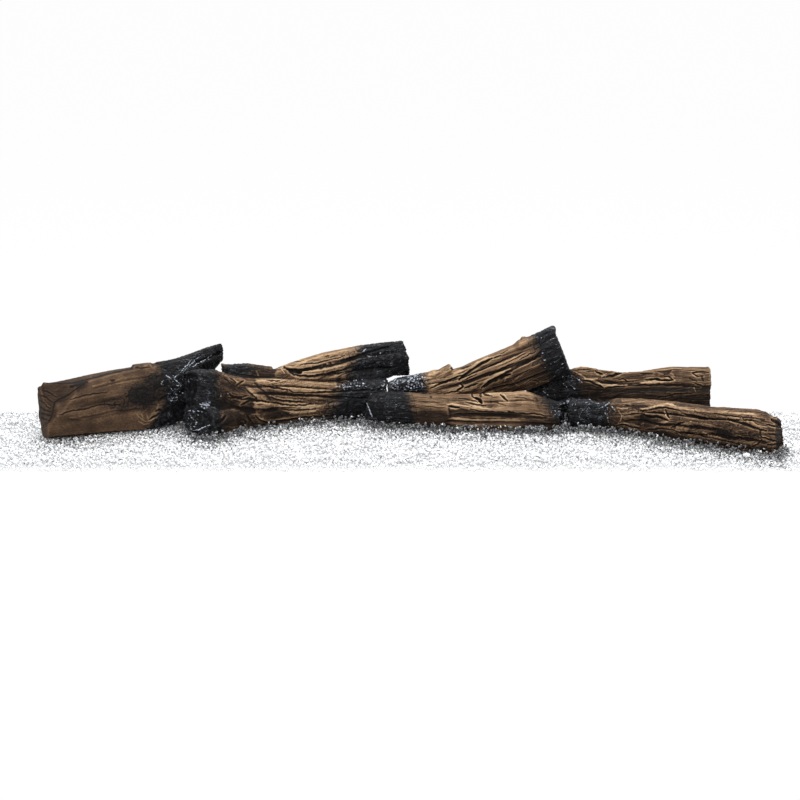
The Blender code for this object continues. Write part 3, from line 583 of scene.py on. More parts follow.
def log_material():
    """A brown wash with painted shade in the hollows, tan dry brushing with painted highlights on the
    ridges, black soot, and pale ash with painted glints.
    """
    shader = Shader(bpy.data.materials.new("painted_resin_log"))
    grain = shader.attribute("grain", "Vector")
    char = shader.attribute("char")
    ash_and_glint = shader.attribute("ash_and_glint")
    fibres = shader.noise(grain, (0.035, 0.75, 0.75), 5, 0.65)
    specks = shader.noise(grain, (0.5, 0.9, 0.9), 3, 0.6)
    streaked = shader.maths("MULTIPLY_ADD", fibres, 0.5, -0.25)
    speckled = shader.maths("MULTIPLY_ADD", specks, 0.34, -0.17)
    tone = shader.maths("ADD", shader.attribute("tone"), streaked)
    tone = shader.maths("ADD", tone, speckled, clamp=True)
    wood = shader.ramp(
        tone,
        (0.0, linear(16, 11, 8)),
        (0.25, linear(42, 31, 23)),
        (0.45, linear(75, 57, 43)),
        (0.65, linear(119, 94, 71)),
        (0.85, linear(162, 134, 104)),
        (1.0, linear(197, 168, 134)),
    )
    soot = shader.ramp(
        shader.maths("ADD", tone, -0.05, clamp=True),
        (0.0, linear(2, 2, 3)),
        (0.5, linear(10, 10, 13)),
        (0.8, linear(26, 27, 32)),
        (1.0, linear(58, 61, 69)),
    )
    colour = shader.mix(char, wood, soot)

    # Fine pale lines on full char: ash and painted glints
    thin = shader.noise(grain, (0.05, 0.42, 0.42), 2, 0.5)
    off_line = shader.maths("ABSOLUTE", shader.maths("SUBTRACT", thin, 0.5))
    line = shader.ramp(off_line, (0.0, WHITE), (0.018, BLACK))
    there = shader.ramp(shader.noise(grain, (0.09, 0.14, 0.14), 2, 0.5), (0.5, BLACK), (0.62, WHITE))
    sooty = shader.ramp(char, (0.93, BLACK), (0.99, WHITE))
    ash_and_glint_lines = shader.maths("MULTIPLY", line, there)
    ash_and_glint_lines = shader.maths("MULTIPLY", ash_and_glint_lines, shader.maths("MULTIPLY", sooty, 0.5))
    grit = shader.noise(grain, (0.28, 0.42, 0.42), 2, 0.6)
    ash_and_glint_flecks = shader.maths("ADD", grit, shader.maths("MULTIPLY", ash_and_glint, 0.5))
    ash_and_glint_flecks = shader.ramp(ash_and_glint_flecks, (0.74, BLACK), (0.79, WHITE))
    ash_and_glint_flecks = shader.maths("MULTIPLY", ash_and_glint_flecks, shader.maths("MULTIPLY", ash_and_glint, 8.0, clamp=True))
    ash_and_glint_colour = shader.ramp(specks, (0.3, linear(120, 130, 146)), (0.7, linear(226, 232, 242)))
    colour = shader.mix(shader.maths("MAXIMUM", ash_and_glint_flecks, ash_and_glint_lines), colour, ash_and_glint_colour)
    shader.link(colour, shader.surface.inputs["Base Color"])

    dry = shader.maths("MULTIPLY_ADD", fibres, 0.25, 0.62)
    shader.link(shader.maths("MULTIPLY_ADD", char, -0.22, dry), shader.surface.inputs["Roughness"])
    shader.surface.inputs["Specular IOR Level"].default_value = 0.15
    bump = shader.node("ShaderNodeBump")
    bump.inputs["Strength"].default_value = 0.5
    bump.inputs["Distance"].default_value = 0.5 * MM
    shader.link(shader.maths("ADD", fibres, specks), bump.inputs["Height"])
    shader.link(bump.outputs["Normal"], shader.surface.inputs["Normal"])
    return shader.owner


def crystal_material():
    """Broken crystal, nearly opaque, because clear chips in a deep heap render grey. dim darkens facets as
    painted reflections and painted shade.
    """
    shader = Shader(bpy.data.materials.new("clear_crystal"))
    place = shader.node("ShaderNodeTexCoord").outputs["Object"]
    cloud = shader.noise(place, (160, 160, 160), 3, 0.6)
    clear = shader.ramp(cloud, (0.3, linear(250, 252, 255)), (0.7, WHITE))
    # The dark facets' colour, a painted reflection and painted shade
    reflected_dark = shader.ramp(cloud, (0.3, linear(8, 8, 10)), (0.7, linear(50, 52, 59)))
    colour = shader.mix(shader.attribute("dim"), clear, reflected_dark)
    shader.link(colour, shader.surface.inputs["Base Color"])
    shader.link(shader.maths("MULTIPLY", cloud, 0.12), shader.surface.inputs["Roughness"])
    shader.surface.inputs["IOR"].default_value = 1.49
    shader.surface.inputs["Transmission Weight"].default_value = 0.05
    return shader.owner


LEFT_LOG = Wood(
    grain=((40, 408), (220, 385)),
    voxel=1.15, run=70, pitch=5.0, depth=0.2, ledges=0.0, cracks=0.1,
    tone=0.46, contrast=0.3, top=-0.06, seed=3.0,
    strokes={
        "crack": (
            (1.2, (149.5, 419.5), (154, 416.5), (160, 413.5)),
            (1.0, (155, 411.5), (159, 409.5), (162, 411)),
        ),
        "hairline": (
            (0.9, (70, 399.5), (76, 397.8), (82, 396.3), (90, 394.5), (100, 393.2), (108, 392.3)),
            (1.1, (59, 415.5), (64, 413.5), (70, 411.2), (76, 410), (84, 409.2), (92, 406.8), (100, 404.8),
             (106, 404.2), (112, 405.5), (121, 403.8)),
            (0.9, (42, 390), (49, 392), (56, 397)), (0.9, (41, 395), (47, 398), (52, 402)),
            (0.9, (41, 400), (45, 404), (50, 409)), (0.9, (41, 406), (45, 410), (51, 412)),
            (0.9, (42, 412), (46, 415), (51, 416)), (0.9, (43, 417), (46, 420), (50, 421)),
            (0.8, (135, 368.6), (143, 368.3), (151, 367.4)),
        ),
        "hollow": ((1.8, (185.5, 373), (185, 382), (185.5, 390)),),
        "dark": (
            (1.2, (110, 380), (115, 380)),
            (1.0, (84, 384), (76, 389), (68, 395), (60, 398.5), (54, 402), (53, 410), (51, 418), (47, 424)),
            # The second stroke on this line runs along the bottom edge and is painted shade under the log
            (1.8, (70, 387), (78, 384), (87, 381.5)), (1.3, (45, 438), (80, 435), (115, 432), (137, 430)),
            (1.1, (40, 385), (46, 382.5), (60, 383.3), (72, 383), (90, 378.5), (110, 373.5), (131, 369),
             (135, 366.5)),
        ),
        "tan": (
            (0.8, (43, 402), (47, 405), (50, 407)), (0.7, (50, 393.5), (57, 396)),
            (0.9, (137, 414), (141, 419), (147, 422), (152, 420), (158, 416)),
            (0.8, (138, 421), (144, 424.5), (150, 424)), (0.8, (141, 413), (143, 418)),
            (0.8, (147, 414), (148, 419)), (1.0, (151, 414), (156, 411), (159, 404)),
        ),
        "white": (
            (0.7, (180.5, 373), (183, 369), (187, 365.3), (190, 362), (191.5, 358.5)),
            (0.6, (182.5, 372), (187, 368), (190, 365), (194, 361.5), (196, 359), (199.5, 356.5)),
            (0.6, (188.5, 368.5), (195, 365), (201, 361.5), (206, 359), (212, 355)),
            (0.6, (180, 372.5), (176, 376), (174, 378), (177, 381.5), (181, 384.5)),
            (0.7, (166, 374.5), (169, 377), (172, 379.5)), (0.7, (170.5, 388), (173, 391)),
        ),
        "rim": (
            (0.8, (176, 385), (181.5, 385.7), (178.5, 389), (175, 389.5)), (0.7, (170, 372.5), (174, 376)),
            (0.7, (183, 371), (184, 376), (182.5, 381)), (0.8, (188, 388.5), (184, 393), (179, 391.5)),
            (0.9, (174, 395.5), (178, 399.5)), (0.8, (170.5, 402), (177, 400.3)),
            (0.8, (163, 381), (161, 383.5), (164, 385)),
        ),
        "fill": (
            (2.6, (93, 386.5), (110, 383.5), (130, 379.5), (150, 375.5), (160, 374)),
            (2.6, (70, 418), (85, 418.5), (100, 414), (115, 411.5), (132, 408)),
        ),
        "swell": (
            (4, (39, 389), (41, 404), (43, 420), (45, 436)), (3.5, (134, 367), (142, 366), (150, 365.5)),
        ),
        "shrink": (
            (7, (165, 425), (182, 422)), (2.5, (219, 352), (218, 354.5)), (2.5, (218, 363), (216, 365)),
        ),
    },
    burns=(Burn((157, 355), (163, 402), 1, 5), Burn((166, 400), (149, 426), 1, 4)),
    scorches=(
        Spot((144, 396), (26, 17), 0.93), Spot((155, 383), (14, 14), 0.9), Spot((122, 404), (22, 9), 0.6),
    ),
    ashes=(Spot((173, 397), (7, 7), 0.3), Spot((170, 380), (9, 8), 0.16), Spot((190, 362), (12, 6), 0.12)),
    patches=(
        # The chopped facet at the left end is sunk and darkened, partly as painted shade
        Patch(-0.12, -0.6, 2.2, ((34, 376), (89, 377), (88, 386), (80, 390), (75, 395), (70, 398.5),
              (56, 404.5), (57, 410), (56, 418), (52, 422.5), (46, 427), (45, 441), (34, 441))),
        Patch(0.08, 0.3, 3, ((134, 412), (146, 409), (160, 403), (163, 412), (156, 423), (140, 426))),
    ),
)

FORKED_LOG = Wood(
    grain=((187, 384), (215, 388), (240, 397), (265, 403), (300, 402), (340, 400), (390, 393)),
    branch_grain=((187, 372), (240, 376), (280, 374), (312, 364), (345, 358), (405, 348)),
    branch_edge=((187, 370), (240, 386), (266, 386), (300, 380), (345, 379), (410, 376)),
    voxel=1.36, run=120, pitch=7.0, depth=0.6, ledges=0.5, cracks=0.3,
    tone=0.36, contrast=0.65, top=0.1, seed=8.0,
    strokes={
        "crack": (
            (1.1, (196, 409.5), (205, 410), (215, 409.5), (222, 411)),
            (1.0, (229, 393), (231, 396), (238, 397.5), (248, 395.5)),
            (1.1, (228, 397.5), (241, 399.3), (250, 398.7), (257, 398.7)),
            (1.4, (241, 405.5), (245, 403), (250, 400.5), (256, 400.5), (262, 401), (269, 402.5)),
            (1.0, (260, 384.5), (270, 387), (280, 388.3), (290, 390)),
            (1.3, (290, 390.5), (294, 392.5), (310, 393), (325, 392), (345, 391), (380, 390)),
            (0.9, (264, 380), (272, 381), (280, 381)),
            (1.1, (270, 397), (277, 400), (290, 401.5), (305, 402.2)),
            (1.0, (268, 401.5), (280, 403.7), (290, 405.3), (302, 405.3), (314, 404.3)),
            (1.2, (256, 415.5), (261, 421), (268, 423), (280, 421.5), (300, 418), (320, 416.5),
             (345, 415.5)),
            (2.0, (284, 367), (290, 369), (298, 370), (308, 369.5), (318, 367.5), (330, 365.5), (340, 363),
             (350, 359.5), (360, 355.7), (370, 352.2), (380, 349), (390, 346.3)),
            (1.5, (289, 371.5), (294, 374.8), (303, 376), (314, 376), (325, 374.5), (335, 372),
             (344, 369.5), (354, 366.5)),
        ),
        "groove": (
            (1.0, (190, 384), (200, 385.5), (207, 389), (217, 391.5)), (0.9, (224, 377.5), (231, 383.5)),
            (0.9, (230, 377), (236, 382.5)), (1.1, (244, 380.5), (238, 384.5), (236, 387)),
            (1.0, (240, 421), (243, 419.5), (246, 421), (245, 425), (241, 427)),
            (1.0, (246, 413), (249, 419), (254, 424)),
            (1.0, (246, 389.5), (250, 392.5), (254, 395.5), (257, 398)), (0.8, (300, 387), (312, 387.6)),
            (0.9, (280, 409), (290, 410), (300, 410), (316, 409)),
            (0.8, (338, 376.5), (350, 372), (360, 367)),
            (0.8, (300, 364.7), (316, 363), (330, 360), (345, 355.5)), (0.7, (292, 362), (304, 360.5)),
        ),
        "hollow": (
            (1.8, (209, 430), (216, 426), (222, 421.5), (226, 416)),
            (2.4, (287, 369), (294, 371.5), (301, 372.5)),
        ),
        "dark": ((2.0, (255, 383), (260, 388), (266, 394), (270, 399)), (1.1, (325, 356.3), (329, 356)),),
        "tan": (
            (1.8, (225, 375.5), (232, 379), (239, 382.5)), (2.2, (231.5, 410), (239, 410)),
            (1.5, (221, 411), (224, 413), (222, 417)), (1.5, (226, 427), (234, 427.5), (248, 426.5)),
            (0.9, (233, 415), (236, 420), (237, 424)),
            (2.6, (247, 386.5), (252, 391), (258, 395.5), (265, 399)),
            (0.7, (281, 402.5), (295, 404), (312, 403.5)), (1.4, (308, 396), (320, 396.5), (333, 396)),
            (1.9, (256, 402.5), (264, 403.5), (275, 405.3), (290, 407.7), (310, 407), (330, 404.3),
             (347, 401.7)),
            (1.3, (290, 412.3), (300, 412.5), (310, 411.5), (318, 409.5)),
            (1.0, (258, 417.5), (266, 420.3), (276, 419.8), (286, 418)),
            (1.2, (303, 371.5), (315, 371), (330, 368.7), (345, 365.5), (357, 361), (368, 357)),
            (1.5, (330, 377.5), (345, 373.5), (360, 369)),
        ),
        "pale": (
            (0.7, (259, 388.5), (265, 393.3)), (0.8, (270, 395), (277, 398), (285, 399.5), (300, 400.3)),
            (0.7, (300, 373.8), (310, 374.3), (321, 373.2)), (0.7, (280, 367), (285, 373.5)),
            (0.9, (256.5, 371), (258.5, 376)),
        ),
        "white": (
            (0.9, (184.5, 414), (187.5, 410.5), (192, 410), (196, 413), (200, 416)),
            (0.8, (190, 415.5), (193.5, 419.5)), (0.8, (196.5, 422), (195.5, 425)),
            (0.9, (187.5, 427), (186.5, 430), (191, 431.5), (197, 430), (204, 427), (211, 424.5)),
            (0.8, (221, 396.5), (222, 396.5)), (0.8, (226, 393), (230, 393.3)),
            (0.7, (362, 384), (367, 387)), (0.8, (362.6, 351.5), (366.5, 348)),
            (1.0, (380, 352.5), (381, 353.5)),
        ),
        "rim": (
            (0.9, (188, 369), (188.5, 374), (188, 379), (188.5, 388)),
            (0.7, (190, 379), (196, 379.5), (202, 382)), (0.7, (197, 411), (204, 412.5)),
            (0.7, (342, 386.3), (352, 386.6), (360, 385.3)), (0.6, (373, 386.7), (380, 387)),
            (1.3, (385.5, 382), (386.5, 388), (385.5, 394)), (0.6, (366, 356.5), (378, 355.5)),
        ),
        "swell": (
            (8, (188, 371), (200, 371), (214, 373)), (8, (346, 378.5), (366, 378.5), (382, 379)),
            (7, (354, 377), (372, 377), (388, 376.5)), (6, (356, 382), (372, 382), (384, 382.5)),
            (5, (221.5, 366), (224, 370)),
        ),
        "shrink": ((6, (404, 375.5), (411, 374.5)),),
        "bulge": ((6, (386, 381), (387, 387), (386, 393)),),
    },
    burns=(
        Burn((218, 360), (225, 425), -1, 8), Burn((367, 336), (351, 380), 1, 9),
        Burn((341, 378), (322, 420), 1, 12),
    ),
    scorches=(Spot((238, 369), (24, 10), 1.0),),
    ashes=(
        Spot((352, 385.5), (20, 5), 0.27), Spot((205, 405), (7, 4), 0.5), Spot((190, 422), (8, 11), 0.22),
        Spot((384, 388), (4, 7), 0.3),
    ),
    patches=(
        Patch(-0.14, -0.6, 4, ((214, 372), (246, 386), (262, 398), (244, 405), (262, 426), (214, 434))),
        Patch(0.16, 0.7, 2, ((256, 379), (275, 377.5), (300, 378.5), (336, 379), (338, 387), (330, 391),
              (293, 391), (290, 389), (268, 384.5), (258, 383))),
        Patch(-0.08, -0.6, 2, ((268, 388), (290, 392), (335, 391.5), (347, 392), (347, 400), (300, 402),
              (275, 400), (266, 396))),
        Patch(0.12, 0.5, 1.5, ((254, 401), (270, 401.5), (290, 406), (312, 405), (347, 400.5), (347, 404),
              (325, 409), (318, 412), (300, 415), (288, 413), (285, 408), (262, 407), (257, 413),
              (254, 408))),
        Patch(-0.2, -0.5, 1.5, ((259, 413), (264, 409.5), (276, 409), (290, 412.5), (288, 416), (276, 418),
              (264, 417.5))),
        Patch(-0.3, -0.6, 2, ((241, 405), (246, 402), (254, 401), (253, 408), (256, 413), (248, 416),
              (242, 410))),
        Patch(-0.22, -0.8, 1.5, ((255, 364), (277, 366), (274, 377.5), (250, 378))),
        Patch(0.19, 0.5, 2, ((283, 363), (300, 357), (330, 350), (364, 345), (356, 354), (335, 362),
              (318, 366), (298, 368), (286, 366))),
        Patch(0.17, 0.3, 2, ((328, 378.5), (345, 371), (368, 358), (372, 362), (356, 372), (340, 379))),
        # A darker band along the bottom, painted shade
        Patch(-0.3, 0, 3, ((262, 423), (300, 419), (345, 417), (345, 427), (262, 432))),
    ),
)

FRONT_LOG = Wood(
    grain=((364, 404), (430, 402), (480, 403), (530, 404), (566, 408)),
    voxel=1.0, run=80, pitch=5.5, depth=0.45, ledges=0.35, cracks=0.15,
    tone=0.4, contrast=0.5, top=0.1, seed=14.0,
    strokes={
        "crack": (
            (1.4, (449, 405.7), (455, 407), (459, 407.6)),
            (1.1, (470, 409), (480, 411.3), (490, 412), (500, 412.5), (512, 413.5), (524, 413.7),
             (535, 413.7), (547, 416)),
            (1.2, (483.5, 394.5), (488, 395.3), (492, 396)), (1.1, (496, 389.5), (499, 392.5)),
            (1.3, (500.5, 394.5), (504, 398), (507.8, 401.3)),
        ),
        "hairline": (
            (0.8, (418, 401), (430, 402.5), (443, 402)), (0.8, (425, 406), (438, 407.5), (446, 407)),
            (0.8, (512, 397), (524, 398), (534, 400)), (0.8, (490, 401), (498, 403), (506, 406)),
        ),
        "groove": (
            (0.9, (465, 402), (475, 404.5), (486, 406)), (0.8, (458, 398), (468, 399.5), (478, 402)),
            (0.9, (452, 416.5), (470, 418), (490, 418.5), (515, 418)),
            (0.9, (508, 411), (511, 412.5), (514, 412)), (1.0, (471, 392), (473, 397), (477, 400)),
        ),
        "hollow": ((1.7, (474, 397.5), (479, 399.5), (482, 403.5)),),
        "dark": ((1.6, (480, 392), (481, 397)), (1.2, (430, 397), (432, 397.5)),),
        "tan": (
            (1.2, (449, 418.5), (458, 419), (470, 420.5), (485, 421), (500, 421), (520, 420.5)),
            (1.0, (462, 414), (478, 416), (500, 416.5)), (1.9, (484, 393), (490, 391.5), (496, 392)),
        ),
        "pale": (
            (0.9, (447, 404), (453, 404), (460, 405.3), (471, 407)), (0.8, (450, 408.7), (457.5, 409.2)),
            (0.9, (470, 405), (480, 407.5), (492, 409.5)), (0.8, (503.5, 394.5), (507, 399), (509, 402.5)),
        ),
        "white": ((0.9, (366.8, 397.3), (364.8, 399.5), (367, 404), (369.5, 410), (372.5, 417)),),
        "rim": (
            (0.6, (549, 407.8), (556, 407.8), (565, 408.2)), (0.6, (551, 410.5), (558, 411.3), (564, 411)),
            (0.6, (551, 413), (558, 415), (564, 415.5)), (0.6, (552, 415.5), (560, 418)),
            (0.7, (540, 395), (546, 396), (553, 396.5), (558, 398.5), (561, 400)),
            (0.7, (561, 396), (559, 394)),
        ),
        "swell": ((8, (563, 412), (563, 424)),),
        "shrink": ((7, (367, 395), (373, 393.5)),),
        "bulge": ((6, (518, 389), (530, 388.5)),),
    },
    burns=(Burn((409, 388), (417, 420), -1, 7), Burn((533, 388), (553, 422), 1, 8)),
    ashes=(Spot((556, 409), (10, 8), 0.16), Spot((388, 404), (16, 10), 0.14)),
    patches=(
        Patch(-0.09, -1.6, 1.3, ((448, 405.5), (460, 408), (470, 410), (500, 413), (524, 414.5), (547, 417),
              (546, 419), (500, 418.5), (470, 418), (449, 417))),
        Patch(0.13, 0.7, 2.5, ((482, 391), (500, 389), (530, 389), (534, 400), (538, 410), (520, 411.5),
              (480, 410), (455, 405), (450, 402), (470, 400), (482, 402))),
        Patch(0.1, 0.2, 3, ((410, 396), (446, 399), (447, 412), (430, 409), (412, 411))),
        # This patch and the next darken the bottom as painted shade where the log meets the crystals
        Patch(-0.16, -0.4, 3, ((404, 415), (420, 413.5), (427, 411.5), (440, 411.3), (446.5, 414.5),
              (450, 418), (450, 427), (404, 427))),
        Patch(-0.18, 0, 6, ((518, 421), (545, 418), (554, 421), (568, 422), (568, 434), (518, 432))),
    ),
)

LEANING_LOG = Wood(
    grain=((388, 386), (425, 383), (455, 377), (500, 362), (540, 346), (568, 334)),
    voxel=1.1, run=130, pitch=6.0, depth=0.6, ledges=0.5, cracks=0.25,
    tone=0.45, contrast=0.6, top=0.08, seed=21.0,
    strokes={
        "crack": (
            (1.2, (430, 388.5), (440, 383.7), (447, 381), (455, 377.7), (463, 375)),
            (1.7, (459, 379.5), (465, 375), (470, 370.8), (476, 366.7), (484, 362.2), (492, 358)),
            (1.2, (455.5, 392), (460.5, 388.5), (463, 386.3), (460.5, 383.8)),
            (1.1, (464, 388), (470, 386.3), (478, 383.5)),
            (1.8, (482, 388), (490, 381), (500, 376.5), (508, 371.8), (515, 367.8), (523, 363.8),
             (531, 359.8), (540, 355.5)),
        ),
        "groove": (
            (0.9, (462, 382), (468, 378), (477, 374)), (0.9, (444, 394), (455, 391), (462, 392.5)),
            (0.9, (480, 371), (490, 366), (500, 361.5), (508, 358)),
            (1.0, (489, 375.5), (497, 371.5), (505, 367.5), (514, 363)),
            (0.8, (509, 361.5), (517, 357.5), (525, 353.5)), (0.8, (519, 359.5), (528, 355), (536, 351)),
            (0.8, (492, 358.5), (501, 355.5)), (0.8, (500, 354), (508, 350)),
            (0.8, (513, 379), (521, 374.5), (528, 371.5)),
            (0.9, (526, 384), (530, 380.5), (536, 381), (540, 384)),
            (0.9, (541, 344), (549, 339), (558, 335)), (0.9, (543, 357), (552, 353), (562, 349)),
        ),
        "hollow": ((2.2, (484, 387), (492, 381.5), (502, 377.5), (510, 374.5)),),
        "dark": ((1.1, (436, 369), (444, 366.5), (451, 364)), (1.3, (456, 369), (464, 368), (471, 366)),),
        "tan": (
            (1.6, (446, 377.5), (456, 373.5), (464, 370), (472, 366), (480, 361.5), (488, 357.5)),
            (1.4, (464, 391.5), (470, 390), (477, 387.5)), (0.9, (486, 374.5), (497, 369), (507, 364.5)),
            (0.9, (495, 365.5), (505, 361), (515, 356.5)), (1.5, (484, 381.5), (494, 377), (504, 371.5)),
            (0.9, (504, 382), (507, 378), (512, 377)), (0.9, (512, 380), (515, 384), (520, 386.5)),
            (0.8, (514, 380.5), (519, 377.3), (524, 375.5)), (1.2, (536, 384.5), (542, 382), (552, 382)),
        ),
        "pale": ((0.9, (458, 384.5), (461, 387)), (0.8, (483, 383), (487, 380.3)),),
        "rim": (
            (0.8, (541.3, 337), (541.7, 339.7)), (0.7, (542, 353.5), (547, 351.5)),
            (1.1, (542, 361.5), (546.5, 359)), (0.8, (544.5, 367), (546.5, 368.3)),
            (0.7, (550, 364.5), (556, 362)), (0.7, (560, 366.5), (565.5, 362.5)),
            (0.6, (549, 340.5), (558, 336.5)),
        ),
        "swell": (
            (8, (397, 380), (405, 378), (420, 375), (432, 371)), (8, (520, 342), (540, 333), (552, 328)),
            (3, (523, 339.5), (525, 338.5)),
        ),
        "bulge": ((6, (388, 380), (389, 386), (390, 392)),),
    },
    burns=(Burn((525, 328), (551, 388), 1, 8), Burn((421, 365), (429, 398), -1, 5)),
    ashes=(
        Spot((413, 382), (9, 13), 0.42), Spot((395, 383), (7, 9), 0.38), Spot((423, 380), (6, 10), 0.34),
        Spot((404, 386), (8, 8), 0.3),
    ),
    patches=(
        Patch(0.1, 0.4, 3, ((428, 372), (460, 362), (462, 374), (446, 379), (430, 387))),
        # The lower face beneath the ridge is sunk and darkened as painted shade
        Patch(-0.11, -1.2, 2, ((481, 390), (493, 381), (517, 368.5), (541, 356), (560, 352), (568, 378),
              (530, 393))),
    ),
)

BACK_LOG = Wood(
    grain=((566, 382), (600, 381), (640, 379), (690, 379), (712, 379)),
    voxel=1.0, run=75, pitch=6.5, depth=0.7, ledges=0.6, cracks=0.35,
    tone=0.34, contrast=0.7, top=0.12, seed=27.0,
    strokes={
        "crack": (
            (1.3, (583, 379.7), (590, 381.5), (597, 384.7), (603.5, 387.5)),
            (1.6, (607, 376.5), (614, 375), (621, 373)), (1.3, (596, 372), (602, 374.3)),
            (1.3, (645, 379.7), (655, 379), (662, 380.3)), (0.9, (691, 373), (700, 371.7), (709, 372.3)),
            (1.0, (692, 373), (697, 376.7), (703, 376.3)),
        ),
        "groove": (
            (1.1, (606, 388.5), (618, 386.3), (634, 385), (655, 384.5), (675, 385), (700, 387)),
            (1.0, (664, 376.5), (669, 376.7), (673.5, 380)), (1.0, (618, 380.5), (623, 378), (627, 381)),
            (0.8, (617, 371.5), (630, 372.5)), (0.9, (655, 398.8), (676.4, 394.3), (700, 393)),
            (0.8, (694, 383), (703, 386), (710, 386)),
        ),
        "hollow": ((1.2, (662, 380.5), (669, 380.3), (673.5, 380)),),
        "dark": (
            (1.1, (641, 373.7), (653, 373.7)), (1.3, (701, 376), (703, 381)),
            (1.1, (689, 378), (697, 381.5)),
        ),
        "tan": ((0.8, (655, 380.3), (662, 378.3), (668, 378.5)),),
        "pale": (
            (1.0, (573, 371), (580, 374.5), (587, 379), (592, 380), (598, 382), (604, 386.5)),
            (1.2, (604, 386.5), (612, 385.3), (620, 383.7), (634, 382.5), (650, 382), (665, 381.7),
             (675, 380.5)),
            (1.0, (601, 376.7), (607, 373.7)), (0.8, (690, 386.5), (694, 387), (696, 391.5)),
        ),
        "white": ((1.0, (576.5, 378), (581.5, 381.7)), (0.8, (543, 391), (548, 395)),),
        "rim": (
            (0.9, (570.5, 375.5), (574.5, 377)), (0.8, (563, 383), (567.5, 388.5)),
            (0.7, (571, 385), (575, 389)), (0.7, (561, 378.5), (570, 371.5)),
        ),
    },
    burns=(Burn((570, 362), (587, 404), -1, 5),),
    ashes=(Spot((577, 380), (8, 9), 0.2),),
    patches=(
        # The lower face is sunk and darkened, in paint and as painted shade
        Patch(-0.24, -1.3, 1.5, ((576, 377), (590, 383), (604, 388), (634, 384.5), (675, 383), (714, 386),
              (714, 408), (575, 408))),
        Patch(0.12, 0.3, 2, ((576, 362), (590, 366), (600, 370), (597, 380), (604, 386), (588, 378),
              (573, 370))),
    ),
)

